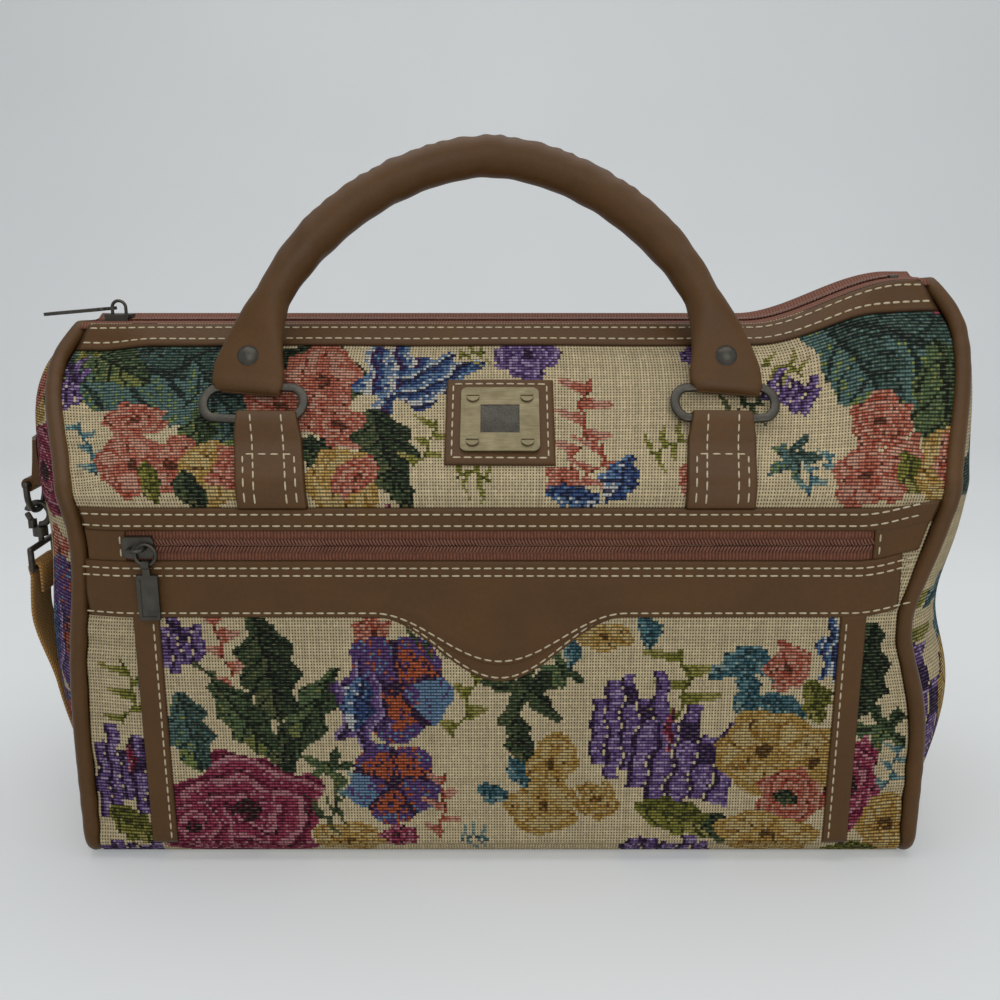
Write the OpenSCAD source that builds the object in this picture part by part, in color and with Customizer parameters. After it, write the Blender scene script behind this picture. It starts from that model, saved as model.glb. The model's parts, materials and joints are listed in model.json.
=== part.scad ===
// Carpet bag: tapestry body with leather trim, two rolled handles and two zips.
// Millimetres. X runs along the bag, Y from front to back, Z up from the floor.
// The origin is the middle of the base.

/* [Body] */
// Width between the two end seams
body_w = 394; // [380:1:430]
// Depth from the front face to the back face
body_d = 170; // [160:1:190]
// Height at which the front and back turn in towards the zip
shoulder_z = 183; // [177:1:195]
// Height of the two edges beside the zip
top_z = 251; // [240:1:262]
// Distance between those two edges
top_gap = 28; // [24:1:34]
// Radius of the turn at the shoulder
shoulder_r = 16; // [12:1:20]
// Radius of the lower front and back corners
corner_r = 13; // [10:1:18]
// Thickness of the tapestry with its lining
wall = 2.4; // [1.6:0.1:3.2]
// How far the left end bulges out
bulge_left = 30; // [15:1:36]
// How far the right end bulges out
bulge_right = 33; // [15:1:40]
// How far the left seam is drawn in at half height
pinch_left = 8; // [0:1:16]
// How far the right seam is drawn in at half height
pinch_right = 12; // [0:1:20]
// How far the left seam stands out near the top
flare_left = 17; // [0:1:24]
// How far the right seam stands out near the top
flare_right = 22; // [0:1:26]
// How far the right top corner is pulled up
corner_lift = 21; // [0:1:26]
// Thickness of the stiff board on the base
board_t = 3; // [2:0.5:5]
// Depth of the soft hollows in the front and back above the shoulder
slump = 3; // [0:0.5:4]

/* [Leather trim] */
// Diameter of the piping in the end seams
piping_d = 7.6; // [6:0.2:9]
// How far the piping stands proud of the panels
piping_proud = 1.2; // [0.6:0.1:2]
// Width of the strips beside the top zip
binding_w = 15; // [10:1:20]
// Thickness of those strips
binding_t = 1.4; // [1:0.1:2]
// Thickness of the leather on the pocket
trim_t = 2; // [1.4:0.1:2.6]

/* [Zips] */
// Width of a closed zip coil
coil_w = 6.6; // [5:0.2:8]
// Height of a zip coil
coil_h = 2; // [1.6:0.1:2.6]
// Thickness of the zip tape
tape_t = 0.8; // [0.6:0.1:1.2]
// Length of a zip slider
slider_l = 14; // [11:0.5:17]
// Radius of the arch on a slider
bail_r = 3.4; // [3:0.1:4]
// Length of the pull on the top zip
top_pull_l = 38; // [30:1:44]
// Width of the pull on the top zip
top_pull_w = 8.5; // [7:0.5:11]
// Length of the pull on the pocket zip
pocket_pull_l = 24; // [18:1:30]
// Width of the pull on the pocket zip
pocket_pull_w = 9.5; // [8:0.5:12]
// Radius of the link ring at its wire's centre line
link_r = 4.6; // [4.2:0.1:5.4]

/* [Pocket] */
// Width of the pocket panel between its side strips
pocket_w = 308; // [290:1:318]
// Width of a side strip
strip_w = 12; // [9:1:16]
// Height of the band above the pocket zip
band_h = 10.5; // [8:0.5:13]
// Height of the slot that shows the pocket zip
slot_h = 13.5; // [12.5:0.5:16]
// Height of the yoke below the zip
yoke_h = 27; // [20:1:32]
// How far the yoke drops at its point
yoke_drop = 23; // [15:1:30]
// Half the width of the dropped point
yoke_reach = 57; // [45:1:70]
// How far the facing shows below the point
facing_drop = 8; // [5:1:12]

/* [Badge] */
// Width of the leather patch
patch_w = 50; // [42:1:58]
// Height of the leather patch
patch_h = 48; // [40:1:56]
// Width of the metal plate
plate_w = 36; // [30:1:40]
// Height of the metal plate
plate_h = 36; // [30:1:38]
// Thickness of the metal plate
plate_t = 1.5; // [1:0.1:2.2]

/* [Handles] */
// Distance between the two ends of a handle
handle_w = 222; // [200:1:230]
// Place of the middle of a handle along the bag
handle_x = -6; // [-12:1:6]
// Height of a handle above its pivot, to the middle of the roll
handle_h = 120; // [100:1:140]
// Diameter of the rolled part
handle_d = 20; // [16:1:22]
// Width of the flat end that folds round the ring
flap_w = 33; // [30:1:36]
// Thickness of that flat end
flap_t = 7; // [6:0.5:9]
// Length over which the flat end turns into the roll
flare_l = 45; // [40:1:55]
// Angle between the raised handle and the slope of the panel
handle_stand = 18.24; // [14:0.01:26]
// Diameter of a rivet head
rivet_d = 10; // [8:0.5:12]
// Width of a ring at its wire's centre line
ring_w = 46; // [44:1:52]
// Height of a ring at its wire's centre line
ring_h = 18; // [17:0.5:22]
// Radius of the wire of a ring
ring_wire = 2; // [1.6:0.1:2.4]
// Angle between a raised ring and the slope of the panel
ring_stand = 4.24; // [4:0.01:10]
// Width of a chape
chape_w = 31; // [29:0.5:34]
// Thickness of a chape, both plies
chape_t = 3.4; // [2.6:0.1:4]
// Distance from the shoulder to the fold of a chape
chape_l = 30; // [26:1:34]

/* [End strap] */
// Width of the webbing
strap_w = 22; // [18:1:24]
// Thickness of the webbing
strap_t = 1.8; // [1.4:0.1:2.4]
// Height of the bar that the strap ring hangs from
strap_ring_z = 176; // [168:1:186]
// Place of the strap between front and back
strap_y = -34; // [-40:1:-20]
// How far the webbing stands off the end panel
strap_off = 7; // [5:0.5:8]

/* [Hidden] */
$fn = 48;
// Gap between pieces that are sewn or laid together
clear = 0.3;
// Radial play of a pin in its hole
play = 0.05;
seam_half = body_w / 2;
// Heights of the widest and narrowest places of the end seams, and how far each reaches
flare_z = 231;
flare_below = 40;
flare_above = 24;
pinch_z_left = 160;
pinch_reach_left = 50;
pinch_z_right = 120;
pinch_reach_right = 32;
// Where the lift of the right top corner begins
lift_x = 122;

// Slope of the upper panels, from the vertical
lean = atan2(body_d / 2 - top_gap / 2, top_z - shoulder_z);
turn_in = shoulder_r * tan(lean / 2);
flat_top = shoulder_z - turn_in;
roof_l = norm([body_d / 2 - top_gap / 2, top_z - shoulder_z]) - turn_in;
ring_lean = lean - ring_stand;
handle_lean = lean - handle_stand;

piping_r = piping_d / 2;
// Room for the piping beside the panels, with an ease for the slope of the seam
seam_ease = 1;
edge_gap = piping_r + seam_ease;
end_inset = piping_d + clear;

// Heights on the flat front, from the shoulder down
band_top = flat_top - clear;
slot_top = band_top - band_h;
slot_bottom = slot_top - slot_h;
slot_mid = (slot_top + slot_bottom) / 2;
yoke_bottom = slot_bottom - yoke_h;
pocket_half = pocket_w / 2;

// Zip sliders and their pulls
plate_in = coil_h + clear;
slider_plate = 1.6;
flange_t = 1.2;
flange_y = coil_w / 2 + clear;
slider_w = 2 * (flange_y + flange_t);
bail_wire = 0.8;
bail_leg = 3;
bail_base = plate_in + slider_plate;
pull_t = 1.6;
eye_play = 0.4;
eye_rim = 1.1;
top_pull_droop = 5;
tape_top = top_z - 0.2;
tape_half = top_gap / 2 - 1.3;
pocket_slot_half = pocket_half + strip_w;
pocket_slider_x = -(pocket_slot_half - 6);
link_wire = 0.8;
link_play = 0.1;
link_z = bail_base + clear + link_wire;
link_drop = link_r - link_wire - bail_wire - link_play;
sleeve_bore = link_wire + 0.5;
sleeve_r = sleeve_bore + 0.8;
sleeve_l = 3.2;

// Loops of leather round the ring bars
fold_t = 1.6;
fold_bore = ring_wire + clear;
fold_r = fold_bore + fold_t;
fold_w = 28;
ring_corner = 5;
ring_swing = 146;
handle_swing = 26;
// Places along the bag of the left and right handle end, ring and chape
end_xs = [handle_x - handle_w / 2, handle_x + handle_w / 2];
ring_shift = [3.5, -1.5];
chape_shift = [7, -3];
ring_xs = end_xs + ring_shift;
chape_xs = end_xs + chape_shift;
rivet_z = 14;
rivet_shank = 2;
// Height up to which the flat end keeps its section
flap_flat = rivet_z + rivet_d;

// Strap fittings, from the ring bar down
strap_wire = 1.5;
strap_ring_r = 10;
strap_ring_leg = 4;
tab_bore = strap_wire + clear;
tab_r = tab_bore + fold_t;
tab_w = 15;
tab_l = 22;
tab_t = 1.8;
hook_wire = 1.6;
hook_r = 5.5;
barrel_r = 3.6;
barrel_top = -6.4;
barrel_bottom = -11;
eye_top = -15;
eye_bottom = -25;
eye_half = strap_w / 2 + strap_wire + 0.5;
gate_pin = [-3.4, -4.4];
gate_tip = [-5.4, -0.3];
gate_r = 1;
gate_t = 2.2;
ear_t = 1.2;
ear_gap = 0.1;
gate_pin_r = 0.7;

tapestry = "#b5a582";
leather = "#7a5c40";
dark_metal = "#3a3833";
brass = "#8c8262";
zip_brown = "#7b4f3d";
webbing = "#8a6a40";

// Curves that the whole bag follows
function smooth(t) = let (c = min(max(t, 0), 1)) c * c * (3 - 2 * c);
function bell(t) = exp(-t * t);
function unit(v) = v / norm(v);

// Distance of an end seam from the middle at height z, side is -1 or 1
function flared(z) = bell((z - flare_z) / (z < flare_z ? flare_below : flare_above));
function seam(side, z) = side > 0
    ? seam_half + flare_right * flared(z) - pinch_right * bell((z - pinch_z_right) / pinch_reach_right)
    : seam_half + flare_left * flared(z) - pinch_left * bell((z - pinch_z_left) / pinch_reach_left);

// Rise of the right top corner
function lift(x, z) = corner_lift
    * smooth((x - lift_x) / (seam_half - lift_x))
    * smooth((z - shoulder_z) / (top_z - shoulder_z));

// A point of the slope, e down from the top edge and n out from the surface
function roof_at(e, n) = [
    -top_gap / 2 - e * sin(lean) - n * cos(lean),
    top_z - e * cos(lean) + n * sin(lean)];

// Front profile from the top edge to the base, set out by o
roof_rows = 5;
arc_rows = 4;
face_rows = 5;
function profile(o) = concat(
    [for (k = [0:roof_rows]) roof_at(roof_l * k / roof_rows, o)],
    [for (k = [1:arc_rows]) let (a = lean * (1 - k / arc_rows))
        [-body_d / 2 + shoulder_r - (shoulder_r + o) * cos(a), flat_top + (shoulder_r + o) * sin(a)]],
    [for (k = [1:face_rows])
        [-body_d / 2 - o, flat_top + (corner_r - flat_top) * k / face_rows]],
    [for (k = [1:arc_rows]) let (a = 90 * k / arc_rows)
        [-body_d / 2 + corner_r - (corner_r + o) * cos(a), corner_r - (corner_r + o) * sin(a)]]);
profile_n = roof_rows + arc_rows + face_rows + arc_rows;

// Soft hollow of the slope between the trims and the end seams
hollow_x = 158;
hollow_reach = 22;
hollow_z = (shoulder_z + top_z) / 2;
hollow_tall = 14;
function hollow(x, z) = slump
    * bell((abs(x) - hollow_x) / hollow_reach)
    * bell((z - hollow_z) / hollow_tall);

function place(x, p) = let (h = hollow(x, p[1]))
    [x, p[0] + h * cos(lean), p[1] + lift(x, p[1]) - h * sin(lean)];
function across(u, z) = u * (seam(sign(u), z) - edge_gap);

// Shares of the width at which the panels have a column of points
columns = 24;
shares = [for (k = [0:columns]) 2 * k / columns - 1];

function sheet(o) = let (base = profile(0), off = profile(o))
    [for (u = shares) [for (i = [0:profile_n]) place(across(u, base[i][1]), off[i])]];

function quad(p, q, r, s) = [[p, q, r], [p, r, s]];
function flat(list) = [for (part = list) each part];

// A wall between two grids of points, the outer one first, columns to the right and rows down
module slab(outer, inner) {
    nu = len(outer);
    nv = len(outer[0]);
    skip = nu * nv;
    faces = concat(
        [for (i = [0:nu - 2]) for (j = [0:nv - 2]) each
            let (a = i * nv + j, b = a + nv) quad(a, b, b + 1, a + 1)],
        [for (i = [0:nu - 2]) for (j = [0:nv - 2]) each
            let (a = skip + i * nv + j, b = a + nv) quad(a + 1, b + 1, b, a)],
        [for (i = [0:nu - 2]) each
            quad(i * nv, skip + i * nv, skip + (i + 1) * nv, (i + 1) * nv)],
        [for (i = [0:nu - 2]) let (a = i * nv + nv - 1, b = a + nv) each
            quad(b, skip + b, skip + a, a)],
        [for (j = [0:nv - 2]) each
            quad(j + 1, skip + j + 1, skip + j, j)],
        [for (j = [0:nv - 2]) let (a = (nu - 1) * nv + j) each
            quad(a, skip + a, skip + a + 1, a + 1)]);
    polyhedron(concat(flat(outer), flat(inner)), faces);
}

// A tube through rings of points, closed on itself or capped
module tube(rings, closed = false) {
    nr = len(rings);
    ns = len(rings[0]);
    last = closed ? nr - 1 : nr - 2;
    sides = [for (r = [0:last]) for (k = [0:ns - 1])
        let (a = r * ns, b = ((r + 1) % nr) * ns, m = (k + 1) % ns) each
        quad(a + k, b + k, b + m, a + m)];
    caps = closed ? [] : [[for (k = [0:ns - 1]) k], [for (k = [0:ns - 1]) nr * ns - 1 - k]];
    polyhedron(flat(rings), concat(sides, caps));
}

module on_front() {
    translate([0, -body_d / 2, 0])
        rotate([90, 0, 0])
            children();
}

module on_roof() {
    start = roof_at(roof_l, 0);
    translate([0, start[0], start[1]])
        rotate([90 - lean, 0, 0])
            children();
}

// Tapestry body
module front_shell() {
    slab(sheet(0), sheet(-wall));
}

module front_panel() {
    color(tapestry) front_shell();
}

module back_panel() {
    color(tapestry) mirror([0, 1, 0]) front_shell();
}

base_half_x = seam_half - edge_gap;
base_half_y = body_d / 2 - corner_r;
board_margin = 10;

module base_panel() {
    color(leather)
        translate([-base_half_x, -base_half_y, 0])
            cube([2 * base_half_x, 2 * base_half_y, wall]);
}

module base_board() {
    color("#4a4038")
        translate([-base_half_x + board_margin, -base_half_y + board_margin, wall])
            cube([2 * (base_half_x - board_margin), 2 * (base_half_y - board_margin), board_t]);
}

// Bulge of an end panel: share across the depth and height of the point
bulge_front = -0.35;
bulge_z_left = 150;
bulge_z_right = 105;
function bulge_across(b) = let (c = b < bulge_front ? (b - bulge_front) / (1 + bulge_front)
    : (b - bulge_front) / (1 - bulge_front)) 1 - pow(abs(c), 2.4);
function bulge_up(z, full) = 1 - pow(abs(z - full) / (z < full ? full : top_z - full), 2.4);
function end_out(side, b, z) = seam(side, z) + bulge_across(b) * (side > 0
    ? bulge_right * bulge_up(z, bulge_z_right)
    : bulge_left * bulge_up(z, bulge_z_left));

across_n = 10;
function end_sheet(side, o) = let (rim = profile(-end_inset))
    [for (k = [0:across_n]) let (b = side * (2 * k / across_n - 1))
        [for (p = rim) [
            side * (end_out(side, b, p[1]) + o),
            -p[0] * b,
            p[1] + lift(side * seam(side, p[1]), p[1])]]];

module end_panel(side) {
    color(tapestry) slab(end_sheet(side, 0), end_sheet(side, -wall));
}

module left_end_panel() {
    end_panel(-1);
}

module right_end_panel() {
    end_panel(1);
}

// Piping: a cord that follows the seam all the way round
piping_sides = 8;
function piping_path(side) = let (
    half = [for (p = profile(piping_proud - piping_r)) [p[0], max(p[1], piping_r)]],
    n = len(half),
    loop = concat(half, [for (k = [1:n]) [-half[n - k][0], half[n - k][1]]]))
    [for (p = loop) let (x = side * seam(side, p[1])) [x, p[0], p[1] + lift(x, p[1])]];

function round_section(r, n) = [for (k = [0:n - 1]) r * [cos(360 * k / n), sin(360 * k / n)]];

module piping(side) {
    path = piping_path(side);
    n = len(path);
    section = round_section(piping_r, piping_sides);
    rings = [for (i = [0:n - 1]) let (
        t = unit(path[(i + 1) % n] - path[(i + n - 1) % n]),
        a = unit(cross([1, 0, 0], t)),
        b = cross(t, a)) [for (q = section) path[i] + q[0] * a + q[1] * b]];
    color(leather) tube(rings, true);
}

module left_piping() {
    piping(-1);
}

module right_piping() {
    piping(1);
}

// Leather strips beside the top zip
function binding_grid(n) = [for (u = shares)
    [for (e = [0, binding_w]) let (p = roof_at(e, n)) place(across(u, p[1]), p)]];

module binding() {
    color(leather) slab(binding_grid(clear + binding_t), binding_grid(clear));
}

module top_binding_front() {
    binding();
}

module top_binding_back() {
    mirror([0, 1, 0]) binding();
}

// Ribbon along the top between two shares of the width, y0 to y1 and z0 to z1
module ribbon(u0, u1, y0, y1, z0, z1) {
    inside = [for (u = shares) if (u > u0 + 0.01 && u < u1 - 0.01) u];
    xs = [for (u = concat([u0], inside, [u1])) across(u, top_z)];
    slab([for (x = xs) [for (y = [y1, y0]) place(x, [y, z1])]],
        [for (x = xs) [for (y = [y1, y0]) place(x, [y, z0])]]);
}

top_slider_x = across(-1, top_z) + slider_l / 2 + 2;
coil_gap = 0.15;
tape_gap = 0.4;
coil_start = -0.96;
coil_end = 0.95;
stop_w = 0.02;
stop_gap = 0.002;

module top_zip_tape() {
    color(zip_brown) {
        ribbon(-1, 1, -tape_half, -tape_gap, tape_top - tape_t, tape_top);
        ribbon(-1, 1, tape_gap, tape_half, tape_top - tape_t, tape_top);
    }
}

module top_zip_coil() {
    color(zip_brown) {
        ribbon(coil_start, coil_end, -coil_w / 2, -coil_gap, tape_top, tape_top + coil_h);
        ribbon(coil_start, coil_end, coil_gap, coil_w / 2, tape_top, tape_top + coil_h);
    }
}

module top_zip_stops() {
    color(dark_metal) {
        ribbon(coil_start - stop_gap - stop_w, coil_start - stop_gap, -coil_w / 2, coil_w / 2,
            tape_top, tape_top + coil_h);
        ribbon(coil_end + stop_gap, coil_end + stop_gap + stop_w, -coil_w / 2, coil_w / 2,
            tape_top, tape_top + coil_h);
    }
}

// Slider: a plate over the coil with two flanges and an arch for the pull
module slider() {
    translate([0, 0, plate_in])
        linear_extrude(slider_plate)
            intersection() {
                square([slider_l, slider_w], center = true);
                circle(r = slider_l * 0.54);
            }
    for (s = [-1, 1])
        translate([-slider_l * 0.4, s > 0 ? flange_y : -flange_y - flange_t, clear])
            cube([slider_l * 0.8, flange_t, plate_in - clear]);
    for (s = [-1, 1])
        translate([s * bail_r, 0, bail_base - slider_plate / 2])
            cylinder(r = bail_wire, h = bail_leg + slider_plate / 2);
    translate([0, 0, bail_base + bail_leg])
        rotate([90, 0, 0])
            rotate_extrude(angle = 180)
                translate([bail_r, 0])
                    circle(r = bail_wire);
}

module at_top_slider() {
    translate([top_slider_x, 0, tape_top])
        children();
}

module top_slider() {
    color(dark_metal) at_top_slider() slider();
}

// Pull on the top zip: an eye round the arch, a neck and a slotted blade
module top_pull() {
    eye_r = bail_wire + eye_play + eye_rim;
    blade = top_pull_l - top_pull_w / 2;
    neck = 9;
    slot_w = top_pull_w * 0.3;
    color(dark_metal)
        at_top_slider()
            translate([0, 0, bail_base + bail_leg])
                rotate([0, -top_pull_droop, 0])
                    translate([0, 0, -pull_t / 2])
                        linear_extrude(pull_t)
                            difference() {
                                union() {
                                    translate([-bail_r, 0]) circle(r = eye_r);
                                    translate([-neck, -eye_r * 0.7]) square([neck - bail_r, 1.4 * eye_r]);
                                    translate([-blade, -top_pull_w / 2]) square([blade - neck, top_pull_w]);
                                    translate([-blade, 0]) circle(d = top_pull_w);
                                    translate([-neck, 0]) circle(d = top_pull_w * 0.8);
                                }
                                translate([-bail_r, 0]) circle(r = bail_wire + eye_play);
                                translate([-blade, 0]) circle(d = slot_w);
                                translate([-blade, -slot_w / 2]) square([blade * 0.3, slot_w]);
                                translate([-blade * 0.7, 0]) circle(d = slot_w);
                            }
}

// Pocket: outline of the yoke's lower edge, a smooth point that drops in the middle
function yoke_edge(x, drop) = yoke_bottom
    - drop * (abs(x) < yoke_reach ? (1 + cos(180 * x / yoke_reach)) / 2 : 0);
edge_steps = 24;

// Half the width of the trims inside the end seams, at a height
function trim_x(side, z) = side * (seam(side, z) - edge_gap - clear);

module yoke_shape(drop) {
    polygon(concat(
        [[trim_x(-1, slot_bottom), slot_bottom], [trim_x(-1, yoke_bottom), yoke_bottom]],
        [for (k = [0:edge_steps]) let (x = yoke_reach * (2 * k / edge_steps - 1)) [x, yoke_edge(x, drop)]],
        [[trim_x(1, yoke_bottom), yoke_bottom], [trim_x(1, slot_bottom), slot_bottom]]));
}

module pocket_yoke() {
    color(leather) on_front() linear_extrude(trim_t) yoke_shape(yoke_drop);
}

module pocket_yoke_facing() {
    color(leather)
        on_front()
            linear_extrude(trim_t * 0.8)
                polygon(concat(
                    [for (k = [0:edge_steps]) let (x = yoke_reach * (2 * k / edge_steps - 1))
                        [x, yoke_edge(x, yoke_drop + facing_drop)]],
                    [for (k = [1:edge_steps - 1]) let (x = yoke_reach * (1 - 2 * k / edge_steps))
                        [x, yoke_edge(x, yoke_drop)]]));
}

module pocket_panel() {
    color(tapestry)
        on_front()
            linear_extrude(trim_t * 0.7)
                polygon(concat(
                    [[-pocket_half, corner_r], [-pocket_half, yoke_bottom]],
                    [for (k = [0:edge_steps]) let (x = yoke_reach * (2 * k / edge_steps - 1))
                        [x, yoke_edge(x, yoke_drop + facing_drop)]],
                    [[pocket_half, yoke_bottom], [pocket_half, corner_r]]));
}

module pocket_strip(side) {
    color(leather)
        on_front()
            linear_extrude(trim_t)
                translate([side > 0 ? pocket_half : -pocket_half - strip_w, corner_r])
                    square([strip_w, yoke_bottom - corner_r]);
}

module pocket_strip_left() {
    pocket_strip(-1);
}

module pocket_strip_right() {
    pocket_strip(1);
}

module pocket_top_band() {
    color(leather)
        on_front()
            linear_extrude(trim_t)
                polygon([
                    [trim_x(-1, slot_top), slot_top], [trim_x(1, slot_top), slot_top],
                    [trim_x(1, band_top), band_top], [trim_x(-1, band_top), band_top]]);
}

module pocket_zip_tape() {
    color(zip_brown)
        on_front()
            linear_extrude(tape_t)
                for (s = [-1, 1])
                    translate([-pocket_slot_half, s > 0 ? slot_mid + tape_gap : slot_bottom])
                        square([2 * pocket_slot_half, slot_h / 2 - tape_gap]);
}

module pocket_zip_coil() {
    color(zip_brown)
        on_front()
            translate([0, 0, tape_t])
                linear_extrude(coil_h)
                    for (s = [-1, 1])
                        translate([-pocket_slot_half, slot_mid + (s > 0 ? coil_gap : -coil_w / 2)])
                            square([2 * pocket_slot_half, coil_w / 2 - coil_gap]);
}

module pocket_zip_end(side) {
    color(leather)
        on_front()
            linear_extrude(trim_t * 1.2)
                polygon([
                    [side * pocket_slot_half, slot_bottom], [trim_x(side, slot_bottom), slot_bottom],
                    [trim_x(side, slot_top), slot_top], [side * pocket_slot_half, slot_top]]);
}

module pocket_zip_end_left() {
    pocket_zip_end(-1);
}

module pocket_zip_end_right() {
    pocket_zip_end(1);
}

module at_pocket_slider() {
    on_front()
        translate([pocket_slider_x, slot_mid, tape_t])
            children();
}

module pocket_slider() {
    color(dark_metal) at_pocket_slider() slider();
}

module pocket_link() {
    color(dark_metal)
        at_pocket_slider()
            translate([bail_r, -link_drop, link_z])
                rotate_extrude()
                    translate([link_r, 0])
                        circle(r = link_wire);
}

// Pull on the pocket zip: a folded sleeve on the link ring and a plate with a sunk panel
module pocket_pull() {
    plate_t = 1.8;
    rim = 1.6;
    sink = 0.4;
    top = -sleeve_r + 0.4;
    color(brass)
        at_pocket_slider()
            translate([bail_r, -link_drop - link_r, link_z])
                difference() {
                    union() {
                        rotate([0, 90, 0]) cylinder(r = sleeve_r, h = sleeve_l, center = true);
                        translate([-pocket_pull_w / 2, top - pocket_pull_l, -plate_t / 2])
                            cube([pocket_pull_w, pocket_pull_l - 3, plate_t]);
                        translate([-sleeve_l / 2, top - 4, -plate_t / 2])
                            cube([sleeve_l, 4, plate_t]);
                    }
                    rotate([0, 90, 0]) cylinder(r = sleeve_bore, h = 2 * sleeve_l, center = true);
                    translate([-pocket_pull_w / 2 + rim, top - pocket_pull_l + rim, plate_t / 2 - sink])
                        cube([pocket_pull_w - 2 * rim, pocket_pull_l - 3 - 2 * rim, plate_t]);
                }
}

// Badge: leather patch with a metal plate, four screw heads and a plain sunk field
patch_t = 1.8;
patch_s = 7;
plate_corner = 3;
screw_r = 3;
screw_h = 0.9;
screw_in = 5.5;
field_w = plate_w * 0.5;
field_h = plate_h * 0.44;
field_deep = 0.5;

module rounded(w, h, r) {
    square([w - 2 * r, h], center = true);
    square([w, h - 2 * r], center = true);
    for (x = [-1, 1])
        for (y = [-1, 1])
            translate([x * (w / 2 - r), y * (h / 2 - r)])
                circle(r = r);
}

module on_patch() {
    on_roof()
        translate([0, patch_s + patch_h / 2, 0])
            children();
}

module badge_patch() {
    color(leather) on_patch() linear_extrude(patch_t) square([patch_w, patch_h], center = true);
}

module badge_plate() {
    color(brass)
        on_patch()
            translate([0, 0, patch_t]) {
                difference() {
                    linear_extrude(plate_t) rounded(plate_w, plate_h, plate_corner);
                    translate([0, 0, plate_t - field_deep])
                        linear_extrude(plate_t)
                            square([field_w, field_h], center = true);
                }
                for (x = [-1, 1])
                    for (y = [-1, 1])
                        translate([x * (plate_w / 2 - screw_in), y * (plate_h / 2 - screw_in), plate_t])
                            difference() {
                                cylinder(r = screw_r, h = screw_h);
                                translate([-screw_r, -0.4, screw_h / 2]) cube([2 * screw_r, 0.8, screw_h]);
                            }
            }
}

// Chape: a leather strap folded over the ring bar and sewn flat on the slope,
// with its foot bent round the shoulder
fold_seat = 0.1;
module shoulder_fold() {
    far = 3 * shoulder_r;
    translate([0, -body_d / 2 + shoulder_r, flat_top])
        rotate([90, 0, 90])
            linear_extrude(chape_w - 2 * fold_seat, center = true)
                intersection() {
                    difference() {
                        circle(r = shoulder_r + chape_t - fold_seat);
                        circle(r = shoulder_r + fold_seat);
                    }
                    polygon([[0, 0], [-far, 0], [-far, far * tan(lean)]]);
                }
}

module chape() {
    taper = 6;
    lap = 0.2;
    shoulder_fold();
    on_roof()
        difference() {
            union() {
                linear_extrude(chape_t)
                    polygon([
                        [-chape_w / 2, -lap], [chape_w / 2, -lap],
                        [chape_w / 2, chape_l - fold_r - taper], [fold_w / 2, chape_l - fold_r],
                        [fold_w / 2, chape_l], [-fold_w / 2, chape_l],
                        [-fold_w / 2, chape_l - fold_r], [-chape_w / 2, chape_l - fold_r - taper]]);
                translate([0, chape_l, fold_r])
                    rotate([0, 90, 0])
                        cylinder(r = fold_r, h = fold_w, center = true);
            }
            translate([0, chape_l, fold_r])
                rotate([0, 90, 0])
                    cylinder(r = fold_bore, h = 2 * fold_w, center = true);
        }
}

module front_chape_left() {
    color(leather) translate([chape_xs[0], 0, 0]) chape();
}

module front_chape_right() {
    color(leather) translate([chape_xs[1], 0, 0]) chape();
}

module back_chape_left() {
    color(leather) mirror([0, 1, 0]) translate([chape_xs[0], 0, 0]) chape();
}

module back_chape_right() {
    color(leather) mirror([0, 1, 0]) translate([chape_xs[1], 0, 0]) chape();
}

// Ring of round wire with its lower bar on the X axis
module ring_bar(w) {
    rotate([0, 90, 0]) cylinder(r = ring_wire, h = w, center = true);
}

module ring() {
    straight = ring_w - 2 * ring_corner;
    for (z = [0, ring_h])
        translate([0, 0, z])
            ring_bar(straight);
    for (s = [-1, 1])
        translate([s * ring_w / 2, 0, ring_corner])
            cylinder(r = ring_wire, h = ring_h - 2 * ring_corner);
    for (turn = [[1, 1, 0], [-1, 1, 90], [-1, 0, 180], [1, 0, 270]])
        translate([turn[0] * straight / 2, 0, turn[1] > 0 ? ring_h - ring_corner : ring_corner])
            rotate([90, 0, 0])
                rotate([0, 0, turn[2]])
                    rotate_extrude(angle = 90)
                        translate([ring_corner, 0])
                            circle(r = ring_wire);
}

ring_pivot = roof_at(roof_l - chape_l, fold_r);

// Turns what stands on the chapes' fold line forward by an angle from its raised place
module at_ring(swing) {
    translate([0, ring_pivot[0], ring_pivot[1]])
        rotate([swing - ring_lean, 0, 0])
            children();
}

// The same for what stands on the rings' upper bars
module at_handle(ring_turn, handle_turn) {
    at_ring(ring_turn)
        translate([0, 0, ring_h])
            rotate([handle_turn + ring_lean - handle_lean, 0, 0])
                children();
}

module front_ring_left() {
    color(dark_metal) at_ring(0) translate([ring_xs[0], 0, 0]) ring();
}

module front_ring_right() {
    color(dark_metal) at_ring(0) translate([ring_xs[1], 0, 0]) ring();
}

module back_ring_left() {
    color(dark_metal) mirror([0, 1, 0]) at_ring(ring_swing) translate([ring_xs[0], 0, 0]) ring();
}

module back_ring_right() {
    color(dark_metal) mirror([0, 1, 0]) at_ring(ring_swing) translate([ring_xs[1], 0, 0]) ring();
}

// Handle: a roll on a half ellipse whose ends flatten into flaps round the ring bars
handle_rings = 36;
handle_sides = 14;
roll_start = 4;
// Above 1 the arch is a little narrower at the top than a half ellipse
arch_power = 1.15;
function arch(a) = [
    handle_x + handle_w / 2 * sign(cos(a)) * pow(abs(cos(a)), arch_power),
    0,
    handle_h * sin(a)];
function roll_share(z) = smooth((z - flap_flat) / (flare_l - flap_flat));
function handle_section(z) = let (
    s = roll_share(z),
    w = flap_w + (handle_d - flap_w) * s,
    t = flap_t + (handle_d - flap_t) * s,
    m = 1 - 0.45 * (1 - s))
    [for (k = [0:handle_sides - 1]) let (a = 360 * (k + 0.5) / handle_sides)
        [w / 2 * sign(cos(a)) * pow(abs(cos(a)), m), t / 2 * sign(sin(a)) * pow(abs(sin(a)), m)]];

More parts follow.
